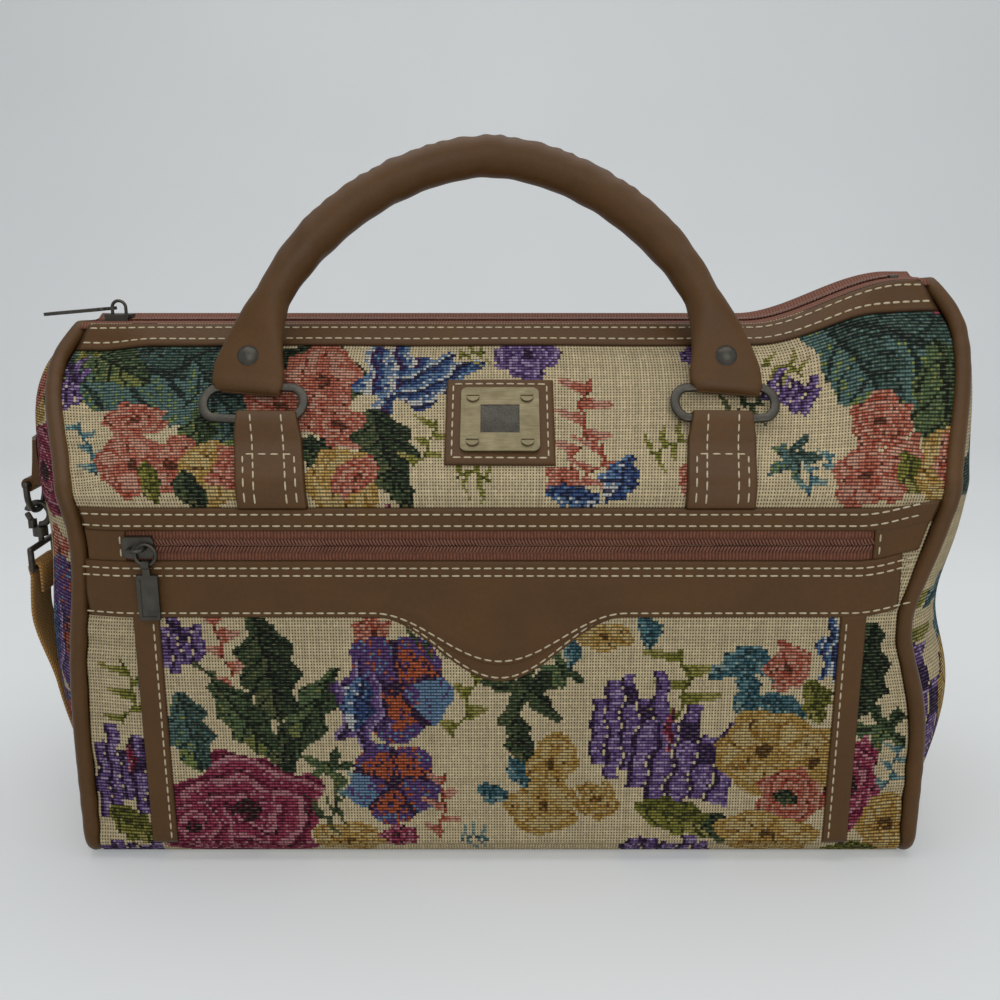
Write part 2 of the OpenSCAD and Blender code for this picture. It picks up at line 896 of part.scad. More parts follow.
module handle() {
    first = asin(roll_start / handle_h);
    arch_step = 1;
    rings = [for (i = [0:handle_rings]) let (
        a = 180 - first - (180 - 2 * first) * i / handle_rings,
        p = arch(a),
        t = unit(arch(a - arch_step) - arch(a + arch_step)),
        n = cross([0, 1, 0], t)) [for (q = handle_section(p[2])) p + q[0] * n + q[1] * [0, 1, 0]]];
    difference() {
        union() {
            tube(rings);
            for (x = end_xs)
                translate([x, 0, 0]) {
                    rotate([0, 90, 0]) cylinder(r = fold_r, h = fold_w, center = true);
                    translate([-fold_w / 2, -flap_t / 2, 0]) cube([fold_w, flap_t, 2 * roll_start]);
                }
        }
        for (x = end_xs)
            translate([x, 0, 0]) {
                rotate([0, 90, 0]) cylinder(r = fold_bore, h = 2 * fold_w, center = true);
                translate([0, 0, rivet_z])
                    rotate([90, 0, 0])
                        cylinder(r = rivet_shank + play, h = 2 * handle_d, center = true);
            }
    }
}

// Rivets: a domed head in front, a flat cap behind
module rivets() {
    seat = (flap_t + (handle_d - flap_t) * roll_share(rivet_z)) / 2 + play;
    dome = 2.4;
    cap = 1.2;
    ball = (rivet_d * rivet_d / 4 + dome * dome) / (2 * dome);
    for (x = end_xs)
        translate([x, 0, rivet_z]) {
            rotate([90, 0, 0]) cylinder(r = rivet_shank, h = 2 * seat, center = true);
            translate([0, -seat, 0])
                rotate([90, 0, 0])
                    rotate_extrude()
                        intersection() {
                            translate([0, dome - ball]) circle(r = ball);
                            square([rivet_d, rivet_d]);
                        }
            translate([0, seat + cap, 0]) rotate([90, 0, 0]) cylinder(d = rivet_d * 0.8, h = cap);
        }
}

module front_handle() {
    color(leather) at_handle(0, 0) handle();
}

module front_handle_rivets() {
    color(brass) at_handle(0, 0) rivets();
}

module back_handle() {
    color(leather) mirror([0, 1, 0]) at_handle(ring_swing, handle_swing) handle();
}

module back_handle_rivets() {
    color(brass) mirror([0, 1, 0]) at_handle(ring_swing, handle_swing) rivets();
}

// End strap: a tab and ring on the left end panel, a snap hook, and webbing sewn low on the panel
function end_half(z) = body_d / 2 - end_inset - max(0, z - shoulder_z) * tan(lean);
function left_out(z, y = strap_y) = end_out(-1, y / end_half(z), z);
hook_z = strap_ring_z - strap_ring_leg - strap_ring_r
    - (hook_r - hook_wire - strap_wire - link_play);
hook_room = 1.2;
strap_x = -(left_out(hook_z) + hook_room + hook_r + hook_wire);

// The tab swells towards the loop that holds the ring
tab_rows = 4;
tab_swell = -strap_x - left_out(strap_ring_z) - clear;
function tab_grid(t, swell) = [for (k = [0:2]) let (y = strap_y + tab_w * (0.5 - k / 2))
    [for (j = [0:tab_rows]) let (c = j / tab_rows, z = strap_ring_z + tab_l * (1 - c))
        [-(left_out(z, y) + clear + t + (swell - t) * c * c), y, z]]];

module strap_tab() {
    color(leather)
        difference() {
            union() {
                slab(tab_grid(tab_t, tab_swell), tab_grid(0, 0));
                translate([strap_x, strap_y, strap_ring_z])
                    rotate([90, 0, 0])
                        cylinder(r = tab_r, h = tab_w, center = true);
            }
            translate([strap_x, strap_y, strap_ring_z])
                rotate([90, 0, 0])
                    cylinder(r = tab_bore, h = 2 * tab_w, center = true);
        }
}

module strap_ring() {
    color(dark_metal)
        translate([strap_x, strap_y, strap_ring_z]) {
            rotate([90, 0, 0]) cylinder(r = strap_wire, h = 2 * strap_ring_r, center = true);
            for (s = [-1, 1])
                translate([0, s * strap_ring_r, 0]) {
                    sphere(r = strap_wire);
                    translate([0, 0, -strap_ring_leg]) cylinder(r = strap_wire, h = strap_ring_leg);
                }
            translate([0, 0, -strap_ring_leg])
                rotate([90, 0, 90])
                    rotate([0, 0, 180])
                        rotate_extrude(angle = 180)
                            translate([strap_ring_r, 0])
                                circle(r = strap_wire);
        }
}

module at_hook() {
    translate([strap_x, strap_y, hook_z])
        children();
}

// Snap hook: an open wire hook on a barrel, with two ears for the gate's pin
module strap_hook() {
    post_r = 1.4;
    hook_turn = 250;
    ear = [2.4, 4];
    color(dark_metal)
        at_hook()
            difference() {
                union() {
                    rotate([90, 0, 0])
                        rotate([0, 0, -90])
                            rotate_extrude(angle = hook_turn)
                                translate([hook_r, 0])
                                    circle(r = hook_wire);
                    translate([0, 0, barrel_bottom]) cylinder(r = barrel_r, h = barrel_top - barrel_bottom);
                    for (s = [-1, 1])
                        translate([
                            gate_pin[0] - ear[0] / 2,
                            s > 0 ? gate_t / 2 + ear_gap : -gate_t / 2 - ear_gap - ear_t,
                            gate_pin[1] + 1.4 - ear[1]])
                            cube([ear[0], ear_t, ear[1]]);
                }
                translate([0, 0, barrel_bottom - 1]) cylinder(r = post_r + play, h = 4);
                translate([gate_pin[0], 0, gate_pin[1]])
                    rotate([90, 0, 0])
                        cylinder(r = gate_pin_r + play, h = 4 * gate_t, center = true);
            }
}

module strap_hook_gate() {
    arm = gate_tip - gate_pin;
    color(dark_metal)
        at_hook()
            rotate([90, 0, 0]) {
                translate([0, 0, -gate_t / 2])
                    linear_extrude(gate_t) {
                        translate(gate_pin) circle(r = gate_r);
                        translate(gate_tip) circle(r = gate_r);
                        translate(gate_pin)
                            rotate(atan2(arm[1], arm[0]))
                                translate([0, -gate_r])
                                    square([norm(arm), 2 * gate_r]);
                    }
                translate([gate_pin[0], gate_pin[1], 0])
                    cylinder(r = gate_pin_r, h = gate_t + 2 * (ear_gap + ear_t), center = true);
            }
}

module strap_hook_eye() {
    post_r = 1.4;
    color(dark_metal)
        at_hook() {
            translate([0, 0, eye_top]) cylinder(r = post_r, h = barrel_bottom + 2.5 - eye_top);
            for (z = [eye_top, eye_bottom])
                translate([0, 0, z])
                    rotate([90, 0, 0])
                        cylinder(r = strap_wire, h = 2 * eye_half, center = true);
            for (s = [-1, 1]) {
                translate([0, s * eye_half, eye_bottom]) cylinder(r = strap_wire, h = eye_top - eye_bottom);
                for (z = [eye_top, eye_bottom])
                    translate([0, s * eye_half, z])
                        sphere(r = strap_wire);
            }
        }
}

// Webbing: folded over the eye's lower bar, hanging clear, then sewn to the end panel at its foot
strap_fold = strap_wire + clear + strap_t / 2;
strap_bar_z = hook_z + eye_bottom;
turn_back = 12;
foot_step = 8;
foot_end = 24;
foot_sewn = 74;
foot_rise = 40;
function strap_wall(z) = max([for (y = [-strap_w / 2, 0, strap_w / 2]) left_out(z, strap_y + y)]);
strap_route = concat(
    [[strap_x + strap_fold, strap_bar_z - turn_back], [strap_x + strap_fold, strap_bar_z]],
    [for (a = [30:30:150]) [strap_x + strap_fold * cos(a), strap_bar_z + strap_fold * sin(a)]],
    [[strap_x - strap_fold, strap_bar_z]],
    [for (z = [strap_bar_z - foot_step:-foot_step:foot_end])
        [-(strap_wall(z) + 2 * clear + strap_t / 2 + strap_off * smooth((z - foot_sewn) / foot_rise)), z]]);

module end_strap() {
    n = len(strap_route);
    path = [for (p = strap_route) [p[0], strap_y, p[1]]];
    half = [strap_t, strap_w] / 2;
    section = [[half[0], -half[1]], half, [-half[0], half[1]], -half];
    rings = [for (i = [0:n - 1]) let (
        t = unit(path[min(i + 1, n - 1)] - path[max(i - 1, 0)]),
        a = cross([0, 1, 0], t)) [for (q = section) path[i] + q[0] * a + q[1] * [0, 1, 0]]];
    color(webbing) tube(rings);
}

front_panel();
back_panel();
base_panel();
base_board();
left_end_panel();
right_end_panel();
left_piping();
right_piping();
top_binding_front();
top_binding_back();
top_zip_tape();
top_zip_coil();
top_zip_stops();
top_slider();
top_pull();
pocket_panel();
pocket_strip_left();
pocket_strip_right();
pocket_yoke();
pocket_yoke_facing();
pocket_top_band();
pocket_zip_tape();
pocket_zip_coil();
pocket_zip_end_left();
pocket_zip_end_right();
pocket_slider();
pocket_link();
pocket_pull();
badge_patch();
badge_plate();
front_chape_left();
front_chape_right();
front_ring_left();
front_ring_right();
front_handle();
front_handle_rivets();
back_chape_left();
back_chape_right();
back_ring_left();
back_ring_right();
back_handle();
back_handle_rivets();
strap_tab();
strap_ring();
strap_hook();
strap_hook_gate();
strap_hook_eye();
end_strap();
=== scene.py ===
import json
import math

import bpy
import numpy as np
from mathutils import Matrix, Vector


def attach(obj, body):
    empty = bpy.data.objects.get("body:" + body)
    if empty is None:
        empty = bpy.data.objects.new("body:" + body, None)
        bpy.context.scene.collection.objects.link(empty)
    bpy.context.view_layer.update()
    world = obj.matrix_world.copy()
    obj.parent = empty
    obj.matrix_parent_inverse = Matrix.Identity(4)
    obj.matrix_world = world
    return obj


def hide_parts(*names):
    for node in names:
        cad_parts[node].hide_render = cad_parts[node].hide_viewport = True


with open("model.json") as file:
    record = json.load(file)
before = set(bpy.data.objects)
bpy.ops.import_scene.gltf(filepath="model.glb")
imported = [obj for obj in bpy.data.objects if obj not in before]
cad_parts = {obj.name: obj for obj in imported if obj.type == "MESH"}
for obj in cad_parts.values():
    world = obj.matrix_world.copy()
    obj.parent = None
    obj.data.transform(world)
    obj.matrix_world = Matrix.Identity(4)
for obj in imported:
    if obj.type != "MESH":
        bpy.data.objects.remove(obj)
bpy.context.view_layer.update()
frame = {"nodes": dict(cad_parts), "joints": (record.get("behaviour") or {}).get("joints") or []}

# Camera: half a metre in front of the bag and a little above its zip, looking slightly down,
# as someone would stand a bag on a table and photograph it.
eye = (0.0, -0.529, 0.290)
look_down = math.radians(14)
half_view = 0.482
lens = bpy.data.cameras.new("camera")
lens.sensor_width = 36
lens.lens = lens.sensor_width / (2 * half_view)
camera = bpy.data.objects.new("camera", lens)
camera.location = eye
camera.rotation_euler = (math.pi / 2 - look_down, 0, 0)
bpy.context.scene.collection.objects.link(camera)
bpy.context.scene.camera = camera

# End strap: tan cotton webbing in a herringbone weave, folded over the eye of the snap hook,
# hanging a little clear of the bulging left end and sewn to it low down.
mm = 0.001
joint_at = {j["name"]: np.array(j["pos_m"]) / mm for j in frame["joints"] if "pos_m" in j}
seam_half = 197
half_depth = 85
top_z = 251
flare_z = 231
bulge_front = -0.35
strap_w = 22
strap_t = 1.8
strap_off = 7
hook_pin = joint_at["strap_gate_swing"]
strap_x = hook_pin[0] + 3.4
strap_y = hook_pin[1]
strap_bar_z = hook_pin[2] + 4.4 - 25


def smooth(t):
    """Rises from 0 to 1 as t does, level at both ends."""
    c = np.clip(t, 0, 1)
    return c * c * (3 - 2 * c)


def bell(t):
    """1 at t = 0, falling away on both sides."""
    return np.exp(-np.square(t))


def seam(side, z):
    """Distance of an end seam from the middle: a straight line that flares near the top
    and is drawn in at half height, each by a bell."""
    flared = bell((z - flare_z) / np.where(z < flare_z, 40, 24))
    left = seam_half + 17 * flared - 8 * bell((z - 160) / 50)
    right = seam_half + 22 * flared - 12 * bell((z - 120) / 32)
    return np.where(np.asarray(side) > 0, right, left)


def end_out(side, b, z):
    """How far an end panel reaches from the middle: the seam plus a bulge that is fullest at
    a share b of the depth and at one height, and dies away to the rim."""
    c = (b - bulge_front) / np.where(b < bulge_front, 1 + bulge_front, 1 - bulge_front)
    full, out = (105, 33) if side > 0 else (150, 30)
    up = 1 - np.power(np.clip(np.abs(z - full) / np.where(z < full, full, top_z - full), 0, 1), 2.4)
    return seam(side, z) + out * (1 - np.power(np.clip(np.abs(c), 0, 1), 2.4)) * up


def grid_faces(nu, nv, close_u=False, close_v=False, start=0):
    """Four-sided faces of a grid of nu by nv points, and the grid place of each corner.
    Seen from outside, u runs to the right and v downwards."""
    columns = np.arange(nu if close_u else nu - 1)
    rows = np.arange(nv if close_v else nv - 1)
    i, j = (k.ravel() for k in np.meshgrid(columns, rows, indexing="ij"))
    steps = ((0, 0), (0, 1), (1, 1), (1, 0))
    corners = np.stack([np.stack([i + a, j + b], -1) for a, b in steps], 1)
    return start + corners[..., 0] % nu * nv + corners[..., 1] % nv, corners.astype(float)


def add_piece(name, points, faces, material, stands_for=(), body="bag",
              uv=None, paint=None, edge=None):
    """Makes a mesh object from points in millimetres and blocks of faces, and puts it on its body.
    uv has a pair for each face corner; paint a colour for each face; edge a share for each point."""
    mesh = bpy.data.meshes.new(name)
    points = np.asarray(points, float).reshape(-1, 3)
    sizes = np.concatenate([np.full(len(f), f.shape[1]) for f in faces])
    loops = np.concatenate([f.ravel() for f in faces])
    mesh.vertices.add(len(points))
    mesh.vertices.foreach_set("co", (points * mm).astype(np.float32).ravel())
    mesh.loops.add(len(loops))
    mesh.loops.foreach_set("vertex_index", loops.astype(np.int32))
    mesh.polygons.add(len(sizes))
    mesh.polygons.foreach_set("loop_start", np.concatenate([[0], np.cumsum(sizes)[:-1]]).astype(np.int32))
    mesh.polygons.foreach_set("loop_total", sizes.astype(np.int32))
    mesh.update(calc_edges=True)
    mesh.polygons.foreach_set("use_smooth", np.ones(len(sizes), bool))
    if uv is not None:
        whole = np.zeros((len(loops), 2), np.float32)
        whole[:len(uv)] = uv
        mesh.uv_layers.new(name="weave").data.foreach_set("uv", whole.ravel())
    if paint is not None:
        whole = np.full((len(sizes), 4), 0.2, np.float32)
        whole[:len(paint)] = paint
        mesh.color_attributes.new("thread", "FLOAT_COLOR", "CORNER").data.foreach_set(
            "color", np.repeat(whole, sizes, axis=0).ravel())
    if edge is not None:
        rim = mesh.attributes.new("edge", "FLOAT", "POINT")
        rim.data.foreach_set("value", edge.astype(np.float32).ravel())
    mesh.materials.append(material)
    made = bpy.data.objects.new(name, mesh)
    bpy.context.scene.collection.objects.link(made)
    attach(made, body)
    if stands_for:
        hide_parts(*stands_for)


def linear(code):
    """Turns an sRGB hex code into linear red, green, blue and a full alpha."""
    s = np.array([int(code[k:k + 2], 16) / 255 for k in (1, 3, 5)])
    rgb = np.where(s <= 0.04045, s / 12.92, ((s + 0.055) / 1.055) ** 2.4)
    return (*rgb, 1.0)


def new_material(name):
    """An empty node material and its two parts that every finish starts from."""
    made = bpy.data.materials.new(name)
    made.use_nodes = True
    return made, made.node_tree, made.node_tree.nodes["Principled BSDF"]


def plug(tree, node, inputs):
    """Gives a node its inputs by socket: values, or other nodes' outputs as links."""
    for socket, value in inputs.items():
        if isinstance(value, bpy.types.NodeSocket):
            tree.links.new(value, node.inputs[socket])
        else:
            node.inputs[socket].default_value = value


def add_node(tree, kind, inputs=(), out=0, **settings):
    """Adds one shader node and gives one of its outputs. Settings are its own options; inputs are
    in order or by socket."""
    made = tree.nodes.new("ShaderNode" + kind)
    for option, value in settings.items():
        setattr(made, option, value)
    plug(tree, made, inputs if isinstance(inputs, dict) else dict(enumerate(inputs)))
    return made.outputs[out]


def unit(vectors):
    """Rows of vectors, each divided by its length."""
    return vectors / np.linalg.norm(vectors, axis=1, keepdims=True)


def distance(path):
    """Distance along a path to each of its points."""
    return np.concatenate([[0], np.cumsum(np.linalg.norm(np.diff(path, axis=0), axis=1))])


def swept(path, across, section):
    """Points of a section carried along a path that lies in a plane of constant y: at each station
    the section's first number runs across the path and its second along the y direction."""
    side = np.cross(across, unit(np.gradient(path, axis=0)))
    return path[:, None] + section[None, :, :1] * side[:, None] + section[None, :, 1:] * np.array(across)


strap_fold = 1.5 + 0.3 + strap_t / 2
turn = np.radians(np.arange(0, 181, 15))
foot = np.arange(strap_bar_z - 4, 30, -2.0)
end_half = half_depth - 7.9
wall_x = np.max([end_out(-1, (strap_y + d * strap_w / 2) / end_half, foot) for d in (-1, 0, 1)], axis=0)
strap_path = np.concatenate([
    [[strap_x + strap_fold, strap_bar_z - 12]],
    np.stack([strap_x + strap_fold * np.cos(turn), strap_bar_z + strap_fold * np.sin(turn)], -1),
    np.stack([-(wall_x + 0.6 + strap_t / 2 + strap_off * smooth((foot - 74) / 40)), foot], -1)])
strap_path = np.stack([strap_path[:, 0], np.full(len(strap_path), strap_y), strap_path[:, 1]], -1)
round_edge = np.array([(1, 0.8), (0.7, 0.95), (0, 1), (-0.7, 0.95), (-1, 0.8)])
flat_side = np.array([(-1, 0.4), (-1, 0), (-1, -0.4)])
strap_section = np.concatenate([round_edge, flat_side, -round_edge, -flat_side])
strap_points = swept(strap_path, (0.0, 1.0, 0.0), strap_section * (strap_t / 2, strap_w / 2))
strap_faces, corners = grid_faces(len(strap_path), len(strap_section), close_v=True)
strap_run = distance(strap_path)
strap_uv = np.stack([
    np.append(strap_section[:, 1], strap_section[0, 1])[corners[..., 1].astype(int)] * strap_w / 2,
    strap_run[corners[..., 0].astype(int)]], -1).reshape(-1, 2)
n = len(strap_section)
caps = np.stack([np.arange(n), (len(strap_path) - 1) * n + np.arange(n)[::-1]])

# Cotton webbing, woven: matt, with slanting ribs that change direction every 5.5 mm. Its colour follows the
# ribs, darker in the grooves between them: painted shade.
webbing, tree, shader = new_material("cotton_webbing_herringbone")
spot = add_node(tree, "UVMap", uv_map="weave")
across = add_node(tree, "SeparateXYZ", (spot,))
along = add_node(tree, "SeparateXYZ", (spot,), 1)
zigzag = add_node(tree, "Math", (across, 5.5 / 2), operation="PINGPONG")
slant = add_node(tree, "Math", (add_node(tree, "Math", (zigzag, along)), 1.8), operation="DIVIDE")
slant = add_node(tree, "Math", (slant,), operation="FRACT")
slant = add_node(tree, "Math", (slant, math.pi), operation="MULTIPLY")
rib = add_node(tree, "Math", (slant,), operation="SINE")
# Painted shade: the rib height darkens the colour in the grooves between the ribs.
cotton = add_node(tree, "Mix", {0: rib, 6: linear("#7a5530"), 7: linear("#c99a58")}, 2, data_type="RGBA")
relief = add_node(tree, "Bump", {"Strength": 0.7, "Distance": 0.4 * mm, "Height": rib})
plug(tree, shader, {"Base Color": cotton, "Roughness": 0.9, "Normal": relief})
add_piece("webbing_strap", strap_points, [strap_faces[:, ::-1], caps], webbing, ["end_strap"],
          uv=strap_uv[np.arange(len(strap_uv)).reshape(-1, 4)[:, ::-1].ravel()])

# Tapestry panels: cotton jacquard with flowers on a cream ground, lined, cut as front, back,
# two ends and a pocket front, and sewn into the piped seams.
shoulder_z = 183
shoulder_r = 16
corner_r = 13
top_half = 14
lean = math.atan2(half_depth - top_half, top_z - shoulder_z)
turn_in = shoulder_r * math.tan(lean / 2)
flat_top = shoulder_z - turn_in
roof_l = math.hypot(half_depth - top_half, top_z - shoulder_z) - turn_in
shoulder_l = shoulder_r * lean
face_l = flat_top - corner_r
corner_l = corner_r * math.pi / 2
front_l = roof_l + shoulder_l + face_l + corner_l
lift_x = 122
edge_gap = 4.4
warp_pitch = 1.35
weft_pitch = 1.65
cloth_t = 2.2


def profile(s, n):
    """Side view of the front: y and z at a distance s down from the top edge and n out from the
    cloth. A straight slope, an arc at the shoulder, a straight face and an arc into the base."""
    s = np.asarray(s, float)
    turned = lean * (1 - np.clip((s - roof_l) / shoulder_l, 0, 1))
    under = math.pi / 2 * np.clip((s - roof_l - shoulder_l - face_l) / corner_l, 0, 1)
    e = np.minimum(s, roof_l)
    f = np.clip(s - roof_l - shoulder_l, 0, face_l)
    arc_y = -half_depth + shoulder_r - shoulder_r * np.cos(turned)
    arc_z = flat_top + shoulder_r * np.sin(turned)
    y = np.where(s <= roof_l, -top_half - e * math.sin(lean), arc_y)
    z = np.where(s <= roof_l, top_z - e * math.cos(lean), arc_z - f)
    y = y + corner_r * (1 - np.cos(under))
    z = z - corner_r * np.sin(under)
    a = turned - under
    return y - n * np.cos(a), z + n * np.sin(a)


def lift(x, z):
    """Rise of the right top corner."""
    return 21 * smooth((x - lift_x) / (seam_half - lift_x)) * smooth((z - shoulder_z) / (top_z - shoulder_z))


def sag(x, s):
    """Relief of the soft front, outwards: hollows in the slope near the ends, a slight swell of the
    face, a round-off towards the piping, and small puckers that fade away from the end seams."""
    from_end = seam_half - np.abs(x)
    hollow = -3 * bell((np.abs(x) - 158) / 22) * bell((s - 49) / 20)
    swell = 1.2 * bell(x / 150) * bell((s - 215) / 60)
    pucker = 0.7 * np.sin(s / 4.1 + 2 * np.sin(s / 13)) * bell((from_end - 8) / 13)
    ripple = 0.5 * np.sin(x / 17 + s / 23) * bell((s - 45) / 40)
    return hollow + swell + pucker + ripple - 3.5 * smooth((np.abs(x) - 166) / 30)


def wrap(x, s, n, back=False):
    """A point of the front at x along the bag, s down from the top edge and n above the cloth.
    The back is its mirror image, puffed up a little beside the zip."""
    x, s, n = np.broadcast_arrays(np.asarray(x, float), np.asarray(s, float), np.asarray(n, float))
    y, z = profile(s, n + sag(x, s) * smooth(s / 14) * smooth((front_l - 14 - s) / 14))
    z = z + lift(x, z) + (3 * bell(s / 15) if back else 0)
    return np.stack([x, -y if back else y, z], -1)


def thin_wall(points, inner, step):
    """Faces of a closed cloth wall: a fine outer grid, a coarse inner grid with every step-th point
    of it, and a rim between the two."""
    nu, nv = points.shape[:2]
    outside, corners = grid_faces(nu, nv)
    cu, cv = inner.shape[:2]
    inside = grid_faces(cu, cv, start=nu * nv)[0][:, ::-1]
    fine = np.arange(nu * nv).reshape(nu, nv)
    coarse = nu * nv + np.arange(cu * cv).reshape(cu, cv)
    rims = []
    for f, c in ((fine[:, 0], coarse[:, 0]), (fine[::-1, -1], coarse[::-1, -1]),
                 (fine[0, ::-1], coarse[0, ::-1]), (fine[-1], coarse[-1])):
        k = np.arange(len(f) - 1)
        near = c[np.minimum((k + step // 2) // step, len(c) - 1)]
        rims.append(np.stack([f[k], f[k + 1], near], -1))
        m = np.arange(len(c) - 1)
        rims.append(np.stack([c[m], f[m * step + step - step // 2], c[m + 1]], -1))
    return [outside, inside, np.concatenate(rims)], corners


tones = {name: [np.array(linear(c)[:3]) for c in codes.split()] for name, codes in {
    "crimson": "#3a1c22 #7c2440 #a8405a #d08a92",
    "coral": "#6b3a28 #b8553f #cf7a62 #e2a68c",
    "gold": "#6a4a22 #b0823c #cfa65a #dfc283",
    "purple": "#3a2748 #5d4374 #7f639a #b49cc4",
    "blue": "#2a3150 #3e5686 #6f8fb4 #dfe0dc",
    "iris": "#4a2a58 #3d5488 #7f9cba #e6e2d6",
    "leaf": "#26301f #46573a #63774f #8a8f4f",
    "teal_leaf": "#2b3a34 #486056 #64827a #8b9a55",
    "dark_leaf": "#1c241a #33412c #4c5c3c #6d7048",
    "olive": "#4a4a22 #76762f #93903f #b3a860",
    "teal": "#2c4a50 #47727a #6b959a #9db4a8",
    "pansy": "#3f2846 #c4623e #6b4c84 #7796b4"}.items()}
cream = np.array(linear("#cab892")[:3])


def frac(t):
    """The part of t after the point."""
    return t - np.floor(t)


def motif(kind, a, b, turned):
    """Outline and tone of one woven motif on coordinates that run from -1 to 1 over its size.
    Flowers are rings or lobes in polar coordinates, leaves have a midrib and veins, spires are
    columns of florets, sprigs are stems with leaflets and flames are wavy upright stripes."""
    rho, th = np.hypot(a, b), np.arctan2(b, a)
    if kind == "rose":
        ring = frac(rho * 2.9 + 0.45 * np.sin(2 * th + turned) + 0.2 * np.sin(5 * th))
        tone = np.select([rho < 0.2, ring < 0.24, ring < 0.72], [0, 1, 2], 3)
        return rho < 1 + 0.1 * np.sin(5 * th + turned) + 0.06 * np.sin(9 * th), tone
    if kind == "peony":
        lobe = frac(th * 1.1 + 0.35 * np.sin(rho * 5 + turned))
        tone = np.select([rho < 0.18, lobe < 0.14, rho < 0.5 + 0.2 * np.sin(3 * th)], [0, 1, 2], 3)
        return rho < 0.88 + 0.16 * np.abs(np.cos(2.5 * th + turned)), np.where(rho > 0.8, 2, tone)
    if kind == "pansy":
        petal = np.floor((th + turned) * 5 / (2 * math.pi)).astype(int) % 5
        inner = frac((th + turned) * 5 / (2 * math.pi))
        tone = np.select([rho < 0.16, np.abs(inner - 0.5) > 0.42, (rho < 0.72) & (petal % 2 == 0),
                          (rho > 0.4) & (petal == 3)], [0, 0, 1, 3], 2)
        return rho < 0.8 + 0.2 * np.sin(inner * math.pi), tone
    if kind == "leaf":
        wide = np.power(np.clip(1 - a * a, 0, 1), 0.75) * (1 + 0.13 * np.sin(11 * a))
        vein = frac(2.6 * a - 1.1 * np.abs(b)) < 0.17
        tone = np.select([(np.abs(b) < 0.07) | vein, b < 0, a > 0.35], [0, 1, 3], 2)
        return np.abs(b) < wide, tone
    if kind == "ivy":
        tone = np.select([np.abs(frac(th * 5 / (2 * math.pi)) - 0.5) < 0.06, b < a], [0, 1], 2)
        return rho < 0.62 + 0.3 * np.cos(5 * th + turned) + 0.08 * np.cos(15 * th), tone
    if kind == "spire":
        col = np.floor((a + 1) * 2.5)
        fa = frac((a + 1) * 2.5)
        top = 0.72 + 0.28 * np.sin(col * 2.3 + turned)
        low = 0.8 + 0.2 * np.cos(col * 1.7 + turned)
        dash = frac(b * 6 + 0.5 * (col % 2)) < 0.24
        gap = (fa < 0.22) | (np.sin(col * 5 + np.floor(b * 3)) > 0.93)
        tone = np.select([gap, dash & (fa > 0.3), fa > 0.8], [0, 3, 1], 2)
        return (np.abs(a) < 1) & (b > -top) & (b < low) & (fa < 0.93), tone
    if kind == "sprig":
        off_stem = a - 0.2 * np.sin(2.5 * b + turned)
        stem = np.abs(off_stem) < 0.06
        q = (b + 1) * 2.6
        out = off_stem * np.where(np.floor(q) % 2 > 0, 1, -1)
        leaf_half = 0.44 * np.power(np.clip(1 - out, 0, 1), 0.5)
        leaflet = (out > 0) & (out < 0.95) & (np.abs(frac(q) - 0.75 + 0.45 * out) < leaf_half)
        return (np.abs(b) < 1) & (stem | leaflet), np.where(stem, 1, np.where(out < 0.4, 2, 3))
    flame = frac(a * 1.7 + 0.22 * np.sin(4 * b + turned))
    tone = np.select([flame < 0.22, flame < 0.5, flame < 0.8], [0, 1, 2], 3)
    return rho < 0.86 + 0.2 * np.sin(6 * th + turned), tone


